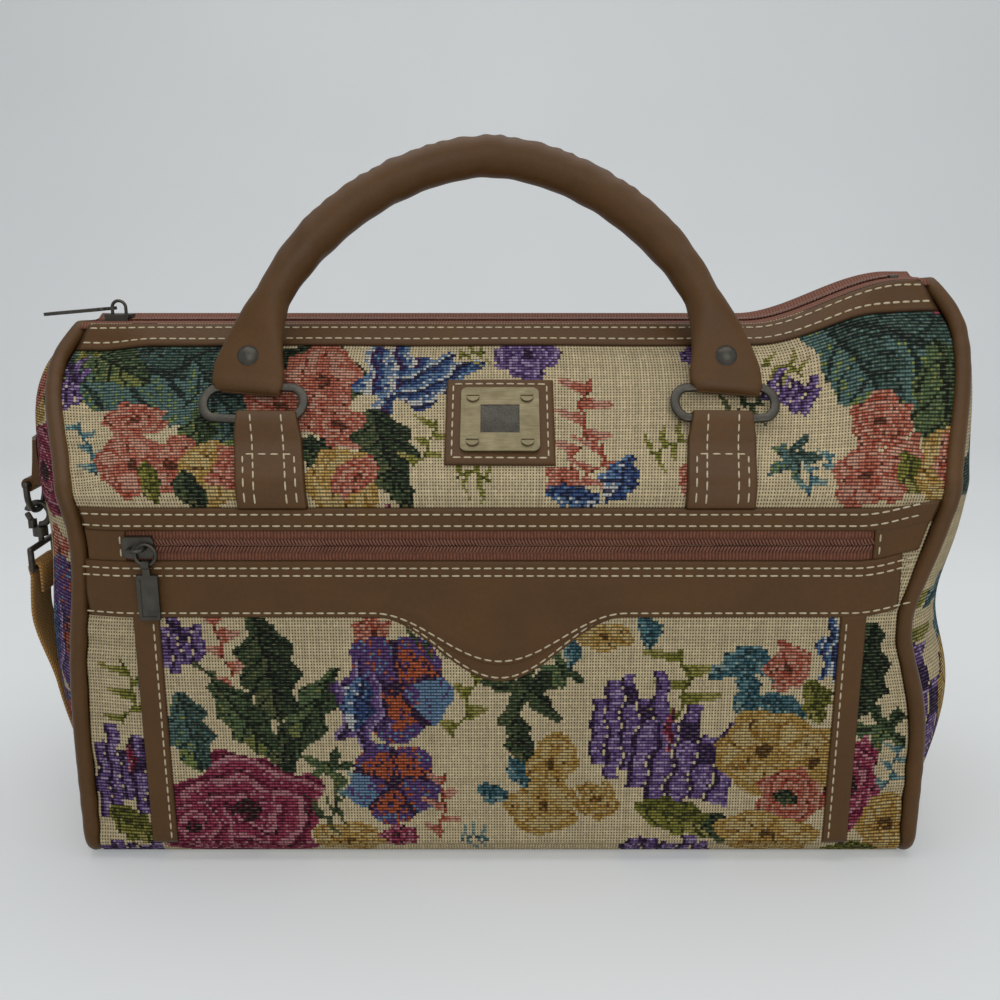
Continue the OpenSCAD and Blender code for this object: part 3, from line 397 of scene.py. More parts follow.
# Where each motif lies on the cloth: kind, colours, middle along the bag and down from the top
# edge, half size along its own axis and across it, and its turn in degrees.
garden = (
    ("leaf", "teal_leaf", -152, 30, 60, 27, 12), ("leaf", "teal_leaf", -120, 55, 38, 17, 62),
    ("leaf", "leaf", -178, 22, 24, 11, 35), ("leaf", "dark_leaf", -84, 32, 26, 18, 20),
    ("spire", "purple", -196, 33, 9, 17, 10), ("sprig", "olive", -188, 12, 7, 9, 30),
    ("sprig", "teal", -187, 72, 7, 15, -8), ("leaf", "leaf", -137, 72, 22, 9, 100),
    ("rose", "coral", -164, 57, 15, 10, 0), ("peony", "coral", -168, 83, 16, 18, 0),
    ("peony", "coral", -150, 84, 12, 18, 40), ("leaf", "olive", -160, 92, 11, 5, 85),
    ("peony", "gold", -128, 88, 19, 17, 0), ("rose", "coral", -116, 84, 12, 17, 60),
    ("leaf", "dark_leaf", -142, 97, 12, 6, 70), ("peony", "coral", -97, 52, 19, 13, 20),
    ("peony", "coral", -80, 36, 17, 23, 0), ("rose", "coral", -72, 62, 18, 12, 30),
    ("flame", "iris", -48, 32, 17, 24, 8), ("flame", "blue", -30, 36, 14, 24, 60),
    ("leaf", "dark_leaf", -85, 76, 11, 8, 30), ("leaf", "dark_leaf", -52, 76, 24, 13, 80),
    ("peony", "gold", -72, 92, 17, 18, 30), ("rose", "coral", -66, 90, 8, 13, 50),
    ("leaf", "dark_leaf", -46, 97, 11, 5, 60), ("sprig", "olive", -33, 72, 9, 14, 20),
    ("sprig", "olive", -12, 90, 14, 8, 90), ("rose", "purple", 12, 20, 14, 15, 20),
    ("sprig", "olive", -12, 20, 9, 6, 60), ("sprig", "coral", 36, 58, 13, 23, 12),
    ("sprig", "coral", 39, 86, 15, 15, 25), ("rose", "coral", 28, 93, 8, 9, 0),
    ("leaf", "blue", 53, 91, 13, 8, 110), ("leaf", "blue", 33, 100, 13, 5, 10),
    ("sprig", "olive", 72, 74, 13, 9, 80), ("rose", "coral", 85, 90, 6, 10, 0),
    ("leaf", "purple", 86, 22, 8, 5, 80), ("sprig", "dark_leaf", 106, 53, 13, 10, 70),
    ("spire", "purple", 127, 43, 12, 11, 30), ("sprig", "olive", 124, 30, 10, 9, 120),
    ("ivy", "teal_leaf", 128, 80, 13, 15, 20), ("sprig", "teal", 140, 88, 8, 12, 20),
    ("leaf", "teal_leaf", 178, 28, 46, 32, 25), ("leaf", "leaf", 195, 58, 30, 15, 80),
    ("leaf", "teal_leaf", 158, 40, 26, 15, 60), ("rose", "crimson", 196, 10, 10, 5, 0),
    ("rose", "coral", 166, 64, 14, 14, 0), ("peony", "coral", 160, 90, 14, 15, 20),
    ("peony", "coral", 176, 86, 9, 18, 20), ("leaf", "olive", 181, 88, 12, 6, 70),
    ("peony", "gold", 197, 84, 13, 20, 10), ("rose", "coral", 197, 80, 5, 13, 0),
    ("rose", "crimson", -60, 128, 26, 22, 0), ("leaf", "leaf", -15, 130, 24, 10, 40),
    ("peony", "gold", 60, 128, 20, 17, 0), ("leaf", "teal_leaf", 110, 128, 25, 12, -30),
    ("flame", "iris", -140, 130, 15, 22, 0), ("rose", "coral", 155, 130, 15, 16, 0),
    ("spire", "purple", -148, 168, 13, 15, 0), ("sprig", "coral", -126, 172, 9, 20, 0),
    ("leaf", "dark_leaf", -106, 181, 27, 13, 80), ("leaf", "leaf", -88, 204, 28, 9, 118),
    ("leaf", "leaf", -118, 206, 24, 10, 55), ("leaf", "teal_leaf", -144, 212, 21, 10, 80),
    ("ivy", "leaf", -80, 230, 15, 11, 0), ("leaf", "dark_leaf", -101, 222, 14, 6, 95),
    ("sprig", "dark_leaf", -132, 190, 4, 15, -20), ("sprig", "teal", -66, 238, 8, 12, 40),
    ("rose", "crimson", -120, 253, 36, 29, 0), ("rose", "crimson", -146, 262, 16, 22, 90),
    ("peony", "gold", -72, 268, 18, 9, 0), ("sprig", "dark_leaf", -80, 252, 12, 8, 70),
    ("rose", "coral", -58, 163, 9, 9, 0), ("pansy", "pansy", -48, 190, 27, 28, 0),
    ("flame", "purple", -64, 200, 14, 24, 0), ("pansy", "pansy", -50, 238, 22, 23, 70),
    ("leaf", "blue", -66, 198, 14, 7, 100), ("sprig", "coral", -27, 250, 9, 17, 10),
    ("sprig", "olive", -15, 192, 10, 24, 10), ("rose", "crimson", -48, 266, 9, 6, 0),
    ("sprig", "dark_leaf", -33, 166, 12, 7, 60), ("sprig", "teal", -12, 268, 10, 7, 80),
    ("ivy", "dark_leaf", 12, 190, 23, 22, 0), ("leaf", "dark_leaf", 9, 216, 16, 6, 80),
    ("ivy", "leaf", 28, 180, 13, 11, 40), ("peony", "gold", 24, 228, 11, 16, 20),
    ("peony", "gold", 20, 250, 17, 15, 0), ("rose", "gold", 46, 247, 10, 10, 0),
    ("leaf", "teal", 8, 232, 9, 5, 60), ("leaf", "teal", -3, 244, 9, 5, 20),
    ("peony", "gold", 48, 165, 12, 7, 0), ("leaf", "teal", 33, 173, 8, 4, 90),
    ("leaf", "teal", 68, 163, 9, 5, 80), ("sprig", "olive", 83, 188, 17, 18, 0),
    ("spire", "purple", 60, 208, 18, 28, 0), ("spire", "purple", 86, 226, 25, 29, 10),
    ("leaf", "crimson", 79, 212, 13, 2, 90), ("leaf", "olive", 84, 256, 22, 9, 20),
    ("spire", "purple", 82, 274, 22, 8, 0), ("leaf", "dark_leaf", 104, 262, 9, 7, 60),
    ("leaf", "teal", 108, 178, 15, 6, 150), ("leaf", "teal", 120, 178, 13, 5, 40),
    ("leaf", "teal", 114, 193, 14, 6, 90), ("leaf", "teal", 130, 200, 13, 7, 20),
    ("rose", "coral", 132, 180, 10, 12, 0), ("flame", "blue", 153, 172, 9, 17, 0),
    ("leaf", "olive", 146, 197, 11, 7, 80), ("peony", "gold", 124, 222, 23, 22, 0),
    ("peony", "gold", 148, 228, 16, 20, 30), ("rose", "coral", 137, 246, 16, 15, 0),
    ("peony", "gold", 128, 266, 26, 12, 10), ("leaf", "dark_leaf", 135, 246, 8, 4, 20),
    ("sprig", "olive", -177, 194, 14, 16, 0), ("leaf", "teal", -167, 188, 8, 4, 70),
    ("spire", "purple", -180, 234, 16, 25, 0), ("leaf", "crimson", -178, 226, 11, 2, 90),
    ("leaf", "olive", -179, 262, 14, 8, 30), ("spire", "purple", -182, 278, 16, 9, 0),
    ("leaf", "dark_leaf", 176, 184, 27, 13, 115), ("ivy", "leaf", 184, 212, 16, 15, 0),
    ("rose", "crimson", 170, 240, 14, 26, 0), ("sprig", "teal", 190, 232, 8, 12, 20),
    ("peony", "gold", 190, 262, 16, 16, 0), ("leaf", "olive", 172, 276, 14, 6, 0))


def woven(x, s):
    """Thread colours of the cloth at x along the bag and s down it, with an alpha of 1 on the plain
    ground and 0 on a motif. Later motifs lie over earlier ones, and a seeded speckle swaps
    neighbouring tones as mixed threads do."""
    rng = np.random.default_rng(5)
    speck = rng.random(x.shape)
    colour = cream * (0.92 + 0.12 * rng.random(x.shape))[..., None]
    ground = np.ones(x.shape)
    wobble = 0.9 * np.sin(s / 2.3 + x / 7) + 0.7 * np.sin(x / 3.1 - s / 5)
    for kind, colours, cx, cs, along, across, degrees in garden:
        c, d = math.cos(math.radians(degrees)), math.sin(math.radians(degrees))
        u, v = x - cx + wobble, s - cs + 0.5 * wobble
        inside, tone = motif(kind, (u * c + v * d) / along, (v * c - u * d) / across, 0.7 * cx)
        tone = np.clip(tone + (speck < 0.13) - (speck > 0.9), 0, 3)
        colour[inside] = np.array(tones[colours])[tone[inside]]
        ground[inside] = 0
    return np.concatenate([colour, ground[..., None]], -1)


# Cotton jacquard, woven: matt. The ground is an open grid of cream warp and weft; in the
# motifs coloured weft covers it in ribs, crossed by pale dashes of the ground's thread. The colour is
# darkened where the threads sink, as painted shade in the pores between the threads and between the ribs.
# Each face of the mesh is one crossing of threads.
tapestry, tree, shader = new_material("cotton_jacquard_tapestry")
hue = add_node(tree, "VertexColor", layer_name="thread")
ground = add_node(tree, "VertexColor", (), 1, layer_name="thread")
spot = add_node(tree, "UVMap", uv_map="weave")
across = add_node(tree, "SeparateXYZ", (spot,))
down = add_node(tree, "SeparateXYZ", (spot,), 1)
column = add_node(tree, "Math", (across,), operation="FLOOR")
row = add_node(tree, "Math", (down,), operation="FLOOR")
off_warp = add_node(tree, "Math", (across, 0.5), operation="PINGPONG")
off_weft = add_node(tree, "Math", (down, 0.5), operation="PINGPONG")
warp = add_node(tree, "MapRange", (off_warp, 0.1, 0.3, 0.0, 1.0), interpolation_type="SMOOTHSTEP")
weft = add_node(tree, "MapRange", (off_weft, 0.12, 0.34, 0.0, 1.0), interpolation_type="SMOOTHSTEP")
open_weave = add_node(tree, "Math", (warp, weft), operation="MAXIMUM")
even = add_node(tree, "Math", (row, 2.0), operation="PINGPONG")
shifted = add_node(tree, "Math", (even, 2.0, across), operation="MULTIPLY_ADD")
brick = add_node(tree, "Math", (shifted, 2.0), operation="PINGPONG")
tie = add_node(tree, "MapRange", (brick, 0.1, 0.4, 0.35, 1.0), interpolation_type="SMOOTHSTEP")
ribbed = add_node(tree, "MapRange", (off_warp, 0.0, 0.4, 0.62, 1.0), interpolation_type="SMOOTHSTEP")
covered = add_node(tree, "Math", (weft, tie), operation="MULTIPLY")
covered = add_node(tree, "Math", (covered, ribbed), operation="MULTIPLY")
height = add_node(tree, "Mix", {0: ground, 2: covered, 3: open_weave})
strand, pick, knot = (
    add_node(tree, "TexWhiteNoise", {"Vector": add_node(tree, "CombineXYZ", cell)}, noise_dimensions="3D")
    for cell in ((column, 0.0), (0.5, row), (column, row)))
uneven = add_node(tree, "Math", (strand, pick))
uneven = add_node(tree, "Math", (uneven, knot))
level = add_node(tree, "MapRange", (uneven, 0.4, 2.6, 0.8, 1.16))
# Painted shade: the thread colour is darkened to a fifth where the weave sinks, in the pores and between the
# ribs.
shade = add_node(tree, "MapRange", (height, 0.0, 1.0, 0.2, 1.0))
shade = add_node(tree, "Math", (shade, level), operation="MULTIPLY")
dash = add_node(tree, "MapRange", (off_weft, 0.4, 0.46, 0.0, 0.42))
long_run = add_node(tree, "MapRange", (brick, 0.7, 1.0, 0.0, 1.0))
long_run = add_node(tree, "Math", (long_run, knot), operation="MULTIPLY")
dash = add_node(tree, "Math", (dash, long_run), operation="MULTIPLY")
hue = add_node(tree, "Mix", {0: dash, 6: hue, 7: linear("#cdbb97")}, 2, data_type="RGBA")
grey = add_node(tree, "CombineXYZ", (shade, shade, shade))
hue = add_node(tree, "Mix", {0: 1.0, 6: hue, 7: grey}, 2, data_type="RGBA", blend_type="MULTIPLY")
relief = add_node(tree, "Bump", {"Strength": 0.8, "Distance": 0.6 * mm, "Height": height})
plug(tree, shader, {"Base Color": hue, "Roughness": 0.92, "Specular IOR Level": 0.15, "Normal": relief})


def cloth_grid(name, surface, nu, nv, on_cloth, stands_for):
    """A woven panel: surface(u, v, n) gives its points for shares u across and v down, and on_cloth the
    place on the cloth of each crossing. The counts are raised to fit the coarse inner grid."""
    step = 8
    nu, nv = (int(math.ceil(k / step)) * step + 1 for k in (nu, nv))
    u, v = np.meshgrid(np.linspace(0, 1, nu), np.linspace(0, 1, nv), indexing="ij")
    outer = surface(u, v, 0.0)
    inner = surface(u[::step, ::step], v[::step, ::step], -cloth_t)
    faces, corners = thin_wall(outer, inner, step)
    middle_u = (u[:-1, :-1] + u[1:, 1:]) / 2
    middle_v = (v[:-1, :-1] + v[1:, 1:]) / 2
    paint = woven(*on_cloth(middle_u, middle_v)).reshape(-1, 4)
    points = np.concatenate([outer.reshape(-1, 3), inner.reshape(-1, 3)])
    add_piece(name, points, faces, tapestry, stands_for, uv=corners.reshape(-1, 2), paint=paint)


def front_x(u, s):
    """Place along the bag at a share u between the two end seams."""
    w = 2 * u - 1
    z = profile(s, 0.0)[1]
    return w * (seam(w, z) - edge_gap)


def long_cloth(back):
    """A function for the front panel, from the zip down to the base, or for its mirror image, the back."""
    def surface(u, v, n):
        s = v * front_l
        return wrap(front_x(1 - u if back else u, s), s, n, back)
    return surface


down_n = front_l / weft_pitch
for name, back in (("front", False), ("back", True)):
    cloth_grid(f"{name}_tapestry", long_cloth(back), 2 * seam_half / warp_pitch, down_n,
               lambda u, v: ((2 * u - 1) * seam_half, v * front_l), [f"{name}_panel"])


def end_cloth(side):
    """A function for one end panel: rows follow the seam's outline, columns run from front to back
    over the bulge, with soft upright folds that fade at the rim."""
    def surface(u, v, n):
        b = side * (2 * u - 1)
        y, z = profile(v * front_l, np.full(np.shape(v), -7.2))
        fold = 1.6 * np.sin(5 * b + 2.2 * v + side) * np.sin(math.pi * v) * (1 - b ** 4)
        x = end_out(side, b, z) + n + fold * 0.8
        return np.stack([side * x, -y * b, z + lift(side * seam(side, z), z)], -1)
    return surface


end_cut = 60
for side, name, middle in ((-1, "left", -128), (1, "right", 168)):
    cloth_grid(f"{name}_end_tapestry", end_cloth(side), 2 * half_depth / warp_pitch, down_n,
               lambda u, v: (middle + (2 * u - 1) * half_depth, end_cut + v * (front_l - end_cut)),
               [f"{name}_end_panel"])

# End piping: a cord wrapped in brown leather and sewn into each end seam. The leather is drawn
# tight, so it is smooth, with fine creases where it turns the corners.
piping_r = 3.8
piping_proud = 0.2

# Cowhide, chrome tanned and pigmented: satin, with a fine pebble grain, slow changes of colour, and
# darker cut edges where the pigment gathers.
leather, tree, shader = new_material("cowhide_pigmented_brown")
spot = add_node(tree, "TexCoord", (), 3)
slow = add_node(tree, "TexNoise", {"Vector": spot, "Scale": 1 / (30 * mm), "Detail": 4.0, "Roughness": 0.6})
fine = add_node(tree, "TexNoise", {"Vector": spot, "Scale": 1 / (2.2 * mm), "Detail": 3.0})
pebble = add_node(tree, "TexVoronoi", {"Vector": spot, "Scale": 1 / (1.1 * mm), "Smoothness": 0.6},
                  feature="SMOOTH_F1")
rim = add_node(tree, "Attribute", (), 2, attribute_name="edge")
hide = add_node(tree, "Mix", {0: slow, 6: linear("#4f3519"), 7: linear("#6c4b28")}, 2, data_type="RGBA")
for where, share, darker in ((fine, 0.35, "#3c2812"), (rim, 0.6, "#2c1e10")):
    where = add_node(tree, "Math", (where, share), operation="MULTIPLY")
    hide = add_node(tree, "Mix", {0: where, 6: hide, 7: linear(darker)}, 2, data_type="RGBA")
satin = add_node(tree, "MapRange", (slow, 0.3, 0.7, 0.4, 0.55))
grain = add_node(tree, "Math", (fine, 0.6, pebble), operation="MULTIPLY_ADD")
relief = add_node(tree, "Bump", {"Strength": 0.28, "Distance": 0.25 * mm, "Height": grain})
plug(tree, shader, {"Base Color": hide, "Roughness": satin, "Specular IOR Level": 0.24, "Normal": relief})


def round_loop(path, radius, sides):
    """A tube about a closed path: rings of points in the plane square to it, with no twist against the
    x axis."""
    along = unit(np.roll(path, -1, 0) - np.roll(path, 1, 0))
    first = unit(np.cross([1.0, 0, 0], along))
    second = np.cross(along, first)
    a = np.linspace(0, 2 * math.pi, sides, endpoint=False)
    spoke = np.cos(a)[:, None] * first[:, None] + np.sin(a)[:, None] * second[:, None]
    return path[:, None] + radius[:, None, None] * spoke


def piping(name, side):
    """The loop round one end: the side view set in under the surface, front then back, at the seam."""
    s = np.linspace(0, front_l, 150)
    y, z = profile(s, piping_proud - piping_r)
    y = np.concatenate([y, -y[::-1]])
    z = np.maximum(np.concatenate([z, z[::-1]]), piping_r)
    x = side * seam(side, z)
    path = np.stack([x, y, z + lift(x, z)], -1)
    run = distance(path)
    even = np.linspace(0, run[-1], 320, endpoint=False)
    path = np.stack([np.interp(even, run, path[:, k]) for k in range(3)], -1)
    crease = 0.12 * np.sin(even / 1.9) * np.sin(even / 23) ** 2
    add_piece(f"{name}_piping_cord", round_loop(path, piping_r + crease, 16),
              [grid_faces(320, 16, True, True)[0]], leather, [f"{name}_piping"])


piping("left", -1)
piping("right", 1)


# Flat leather trims of the front: cut from sheet about 2 mm thick with turned edges, and sewn on
# with cream thread in rows of long stitches.
def add_pad(name, upper, lower, material, slot, stands_for=(), mirror=False, edge=None):
    """A closed pad between an upper grid of points and a lower one, with a wall between their rims.
    A mirror image has its faces turned round; edge is a share of wear for each upper point."""
    nu, nv = upper.shape[:2]
    count = nu * nv
    faces = grid_faces(nu, nv)[0]
    rim = np.concatenate([np.arange(nu) * nv, (nu - 1) * nv + np.arange(1, nv),
                          np.arange(nu - 2, -1, -1) * nv + nv - 1, np.arange(nv - 2, 0, -1)])
    after = np.roll(rim, -1)
    wall = np.stack([rim, after, after + count, rim + count], -1)
    blocks = [np.concatenate([faces, faces[:, ::-1] + count]), wall]
    if mirror:
        blocks = [f[:, ::-1] for f in blocks]
    if edge is not None:
        edge = np.concatenate([edge.ravel(), np.ones(count)])
    points = np.concatenate([upper.reshape(-1, 3), lower.reshape(-1, 3)])
    add_piece(name, points, blocks, material, stands_for, edge=edge)


def patch(name, x, s, top, stands_for, back=False, soft=1.2):
    """A flat piece lying on the front: x and s are grids of its outline, top its height above the cloth.
    The height falls away in a quarter round over the last bit of each edge, and the back is closed."""
    width = np.abs(np.cumsum(np.hypot(np.gradient(x, axis=0), np.gradient(s, axis=0)), axis=0))
    length = np.abs(np.cumsum(np.hypot(np.gradient(x, axis=1), np.gradient(s, axis=1)), axis=1))
    near = np.minimum(np.minimum(width - width[:1], width[-1:] - width),
                      np.minimum(length - length[:, :1], length[:, -1:] - length))
    share = np.sqrt(1 - np.square(1 - np.clip(near / soft, 0, 1)))
    upper = wrap(x, s, top * (0.25 + 0.75 * share), back)
    add_pad(name, upper, wrap(x, s, 0.0, back), leather, "brown_leather", stands_for, back, 1 - share)


def eased(count, soft_share):
    """Shares from 0 to 1 with points gathered near both ends, so that turned edges are round."""
    inner = np.linspace(soft_share, 1 - soft_share, count)
    ease = soft_share * np.array([0, 0.08, 0.3, 0.6])
    return np.concatenate([ease, inner, 1 - ease[::-1]])


# Polyester thread, twisted: cream, slightly glossy along each stitch.
sewing_thread, tree, shader = new_material("polyester_sewing_thread")
spot = add_node(tree, "TexCoord", (), 3)
fibre = add_node(tree, "TexNoise", {"Vector": spot, "Scale": 1 / (1.5 * mm), "Detail": 2.0})
twist = add_node(tree, "Mix", {0: fibre, 6: linear("#a89670"), 7: linear("#e6d9ba")}, 2, data_type="RGBA")
plug(tree, shader, {"Base Color": twist, "Roughness": 0.6})

stitch_pitch = 4.7
stitch_l = 3.5
thread_w = 0.9
all_stitches = {"front": [], "back": []}
hexagon = np.radians([30, 90, 150, 210, 270, 330])


def sew(x, s, n, back=False):
    """A row of stitches along a line on the front or the back: each is a short spindle, half sunk in the
    leather. x, s and n are the line's points along the bag, down it and above the cloth."""
    line = np.stack(np.broadcast_arrays(*(np.asarray(v, float) for v in (x, s, n))), -1)
    run = distance(line)
    count = max(int(run[-1] / stitch_pitch), 1)
    begin = (np.arange(count) + 0.5) * run[-1] / count
    t = np.array([-0.5, -0.38, 0, 0.38, 0.5])
    girth = np.array([0.3, 0.85, 1, 0.85, 0.3]) * thread_w / 2
    at = begin[:, None] + t * stitch_l
    middle = np.stack([np.interp(at, run, line[:, k]) for k in range(3)], -1)
    along = unit(middle[:, -1] - middle[:, 0])
    side = np.stack([-along[:, 1], along[:, 0], np.zeros(count)], -1)
    spoke = np.cos(hexagon)[:, None] * side[:, None] + 0.75 * np.sin(hexagon)[:, None] * np.array([0, 0, 1.0])
    ring = middle[:, :, None] + girth[:, None, None] * spoke[:, None]
    points = wrap(ring[..., 0], ring[..., 1], ring[..., 2], back)
    all_stitches["back" if back else "front"].append(points.reshape(count, -1, 3))


def stitch_faces(count, flip):
    """Faces of many spindles of five rings of six points, closed at both ends."""
    tube = grid_faces(5, 6, close_v=True)[0]
    ends = np.stack([np.arange(6), 24 + np.arange(6)[::-1]])
    if flip:
        tube, ends = tube[:, ::-1], ends[:, ::-1]
    shift = 5 * 6 * np.arange(count)[:, None, None]
    return [(tube + shift).reshape(-1, 4), (ends + shift).reshape(-1, 6)]


# Strips beside the top zip: leather bindings folded over the panels' top edges, each held by
# two rows of stitches.
binding_s = 1.2
binding_w = 13.4
binding_t = 1.7
u = np.linspace(0, 1, 120)[:, None]
for name, back in (("front", False), ("back", True)):
    s = np.broadcast_to(binding_s + binding_w * eased(8, 0.08)[None, :], (120, 16))
    x = front_x(u, np.maximum(s, 0))
    patch(f"{name}_zip_binding", x, s, binding_t, [f"top_binding_{name}"], back=back)
    for down in (4.3, 11.3):
        line = np.linspace(0.005, 0.995, 300)
        sew(front_x(line, np.full(300, down)), down, binding_t + 0.1, back)

# Pocket front: tapestry patch below the yoke, edged by two upright leather strips that are
# stitched near their inner edges.
yoke_reach = 57
yoke_drop = 23
facing_drop = 8
trim_t = 2.0
band_s = roof_l + shoulder_l + 0.3
slot_top_s = band_s + 10.5
slot_low_s = slot_top_s + 13.5
yoke_low_s = slot_low_s + 27
base_s = roof_l + shoulder_l + face_l
pocket_half = 154
strip_w = 12


def bow(x):
    """How far the pocket's trims rise towards the right end, where the lifted corner pulls them up."""
    return 5 * smooth((x - 158) / 36)


def dip(x, drop):
    """Lower edge of the yoke: level, with a smooth point in the middle, one wave of a cosine."""
    point = np.where(np.abs(x) < yoke_reach, (1 + np.cos(math.pi * x / yoke_reach)) / 2, 0)
    return yoke_low_s + drop * point - bow(x)


def pocket_cloth(u, v, n):
    """The pocket's tapestry, just above the front, from under the yoke to the base."""
    x = (2 * u - 1) * pocket_half
    s = (1 - v) * (dip(x, 0) - 6) + v * (base_s + 3)
    return wrap(x, s, 1.4 + 0.55 * n)


pocket_l = base_s - yoke_low_s + 9
cloth_grid("pocket_tapestry", pocket_cloth, 2 * pocket_half / warp_pitch, pocket_l / weft_pitch,
           lambda u, v: ((2 * u - 1) * pocket_half, yoke_low_s - 6 + v * pocket_l), ["pocket_panel"])

for side, name in ((-1, "left"), (1, "right")):
    w = eased(6, 0.1)[:, None]
    v = np.linspace(0, 1, 50)[None, :]
    x = side * pocket_half + (w if side > 0 else w - 1) * strip_w + 0 * v
    s = dip(x, 0) - 4 + (base_s + 3 - dip(x, 0) + 4) * v
    patch(f"pocket_edge_strip_{name}", x, s, trim_t + 0.4, [f"pocket_strip_{name}"])
    line = np.linspace(dip(side * pocket_half, 0) + 2, base_s, 60)
    sew(side * (pocket_half + 2.6), line, trim_t + 0.5)

# Yoke and bands of the pocket: a broad leather band with a dropped point, a facing that shows below
# it, a narrow band above the zip and a tab at each end of the slot.
slot_half = 166
seam_x = np.linspace(0, 1, 200)[:, None]


def trim_x(s):
    """Places along the bag of a trim that runs from seam to seam at a distance s down."""
    return front_x(seam_x, s) * 0.998


v = eased(14, 0.05)[None, :]
x = trim_x(np.full((200, 1), yoke_low_s))
s = slot_low_s - bow(x) + (dip(x, yoke_drop) - slot_low_s + bow(x)) * v
ridge = 0.5 * bell((s - dip(x, yoke_drop) + 7) / 2.2) * bell(x / 80)
patch("pocket_yoke_band", x + 0 * s, s, trim_t + 0.6 + ridge, ["pocket_yoke"])
line = np.linspace(-188, 186, 400)
for down in (3.3, 6.8):
    sew(line, slot_low_s - bow(line) + down, trim_t + 0.7)
sew(line, dip(line, yoke_drop) - 2.6, trim_t + 0.7)
wide = np.linspace(-yoke_reach, yoke_reach, 90)[:, None]
facing = dip(wide, yoke_drop + facing_drop)
s = dip(wide, yoke_drop) - 4 + (facing - dip(wide, yoke_drop) + 4) * eased(6, 0.12)[None, :]
patch("pocket_yoke_underlay", wide + 0 * s, s, trim_t - 0.1, ["pocket_yoke_facing"], soft=1.0)
line = np.linspace(-44, 44, 120)
sew(line, dip(line, yoke_drop + facing_drop) - 2.3, trim_t)

s = band_s - bow(x) + 10.5 * eased(8, 0.1)[None, :]
x = trim_x(s)
patch("pocket_upper_band", x, s, trim_t + 0.5, ["pocket_top_band"])
line = np.linspace(-186, 186, 400)
for down in (2.6, 7.8):
    sew(line, band_s - bow(line) + down, trim_t + 0.6)

for side, name in ((-1, "left"), (1, "right")):
    w = eased(5, 0.08)[:, None]
    s = slot_top_s - 1 + 15.5 * np.linspace(0, 1, 14)[None, :]
    far = np.abs(front_x(0.5 + 0.5 * side, s)) - 0.5
    x = side * (slot_half + (far - slot_half) * (w if side > 0 else 1 - w))
    patch(f"pocket_zip_tab_{name}", x, s - bow(x), trim_t + 0.2, [f"pocket_zip_end_{name}"])
    line = np.linspace(slot_top_s + 1, slot_low_s - 1, 20)
    sew(side * (slot_half + 2.5), line - bow(side * (slot_half + 2.5)), trim_t + 0.4)

# Zips: reddish-brown polyester tape with a nylon coil of slanting turns on each side, one along the
# top of the bag and one across the pocket.
tape_top = 250.8
coil_pitch = 1.5
zip_tape, tree, shader = new_material("polyester_zip_tape_woven")
spot = add_node(tree, "TexCoord", (), 3)
wave = add_node(tree, "TexWave", {"Vector": spot, "Scale": 0.314 / (1.5 * mm), "Distortion": 1.5,
                                  "Detail": 1.0})
fleck = add_node(tree, "TexNoise", {"Vector": spot, "Scale": 1 / (1.2 * mm), "Detail": 2.0})
twill = add_node(tree, "Math", (wave, fleck), operation="MULTIPLY")
cloth = add_node(tree, "Mix", {0: twill, 6: linear("#5a3222"), 7: linear("#a5694c")}, 2, data_type="RGBA")
relief = add_node(tree, "Bump", {"Strength": 0.5, "Distance": 0.2 * mm, "Height": twill})
plug(tree, shader, {"Base Color": cloth, "Roughness": 0.85, "Normal": relief})

# Nylon monofilament, coiled: smoother than the tape, a shade lighter on its turns.
nylon, tree, shader = new_material("nylon_zip_coil")
tint = add_node(tree, "TexNoise", {"Vector": add_node(tree, "TexCoord", (), 3), "Scale": 1 / (9 * mm)})
dyed = add_node(tree, "Mix", {0: tint, 6: linear("#5c3423"), 7: linear("#86553f")}, 2, data_type="RGBA")
plug(tree, shader, {"Base Color": dyed, "Roughness": 0.45})


def coil(name, place, length, stands_for):
    """A zip coil: two rows of slanting spindles, mirror images of each other, whose tips interlock.
    place maps (distance along, across, height) to the bag."""
    count = int(length / coil_pitch)
    begin = (np.arange(count) + 0.5) * length / count
    t = np.array([-0.5, -0.36, 0, 0.36, 0.5])[:, None]
    girth = np.array([0.35, 0.9, 1, 0.9, 0.35])[:, None] * 0.72
    parts = []
    for side in (-1, 1):
        start = begin[:, None, None] + (side * 0.25 + 0.5) * coil_pitch
        along = start + 1.5 * t + girth * np.cos(hexagon)
        out = side * (1.65 - 3.1 * t) + 0 * along
        up = 1.0 + 0.9 * girth * np.sin(hexagon) + 0 * along
        parts.append(place(along, out, up).reshape(-1, 3))
    faces = stitch_faces(2 * count, False)
    flip = [np.where(np.arange(len(f))[:, None] < len(f) // 2, f[:, ::-1], f) for f in faces]
    add_piece(name, np.concatenate(parts), flip, nylon, stands_for)


def tape(name, place, length, inner, outer, stands_for):
    """Two flat tapes beside the coil, each a thin closed strip with a thicker edge at the coil."""
    along = np.linspace(0, length, 160)[:, None]
    across = np.array([inner, inner + 0.6, inner + 2.6, 0.5 * outer, min(outer, top_half) - 0.4, outer])
    top = np.array([0.1, 0.5, 0.3, 0.3, 0.35, 0.3])
    ring_out = np.concatenate([across, across[::-1]])
    ring_up = np.concatenate([top, np.full(len(top), -0.4)])
    nu, nv = len(along), len(ring_out)
    blocks, points = [], []
    for side in (-1, 1):
        start = len(points) * nu * nv
        faces = grid_faces(nu, nv, close_v=True, start=start)[0]
        ends = start + np.stack([np.arange(nv), (nu - 1) * nv + np.arange(nv)[::-1]])
        blocks.append((faces, ends) if side < 0 else (faces[:, ::-1], ends[:, ::-1]))
        grid = place(along + 0 * ring_out, side * ring_out + 0 * along, ring_up + 0 * along)
        points.append(grid.reshape(-1, 3))
    faces = [np.concatenate(pair) for pair in zip(*blocks)]
    add_piece(name, np.concatenate(points), faces, zip_tape, stands_for)


top_left = float(front_x(0.0, np.array(0.0)))
top_right = float(front_x(1.0, np.array(0.0)))


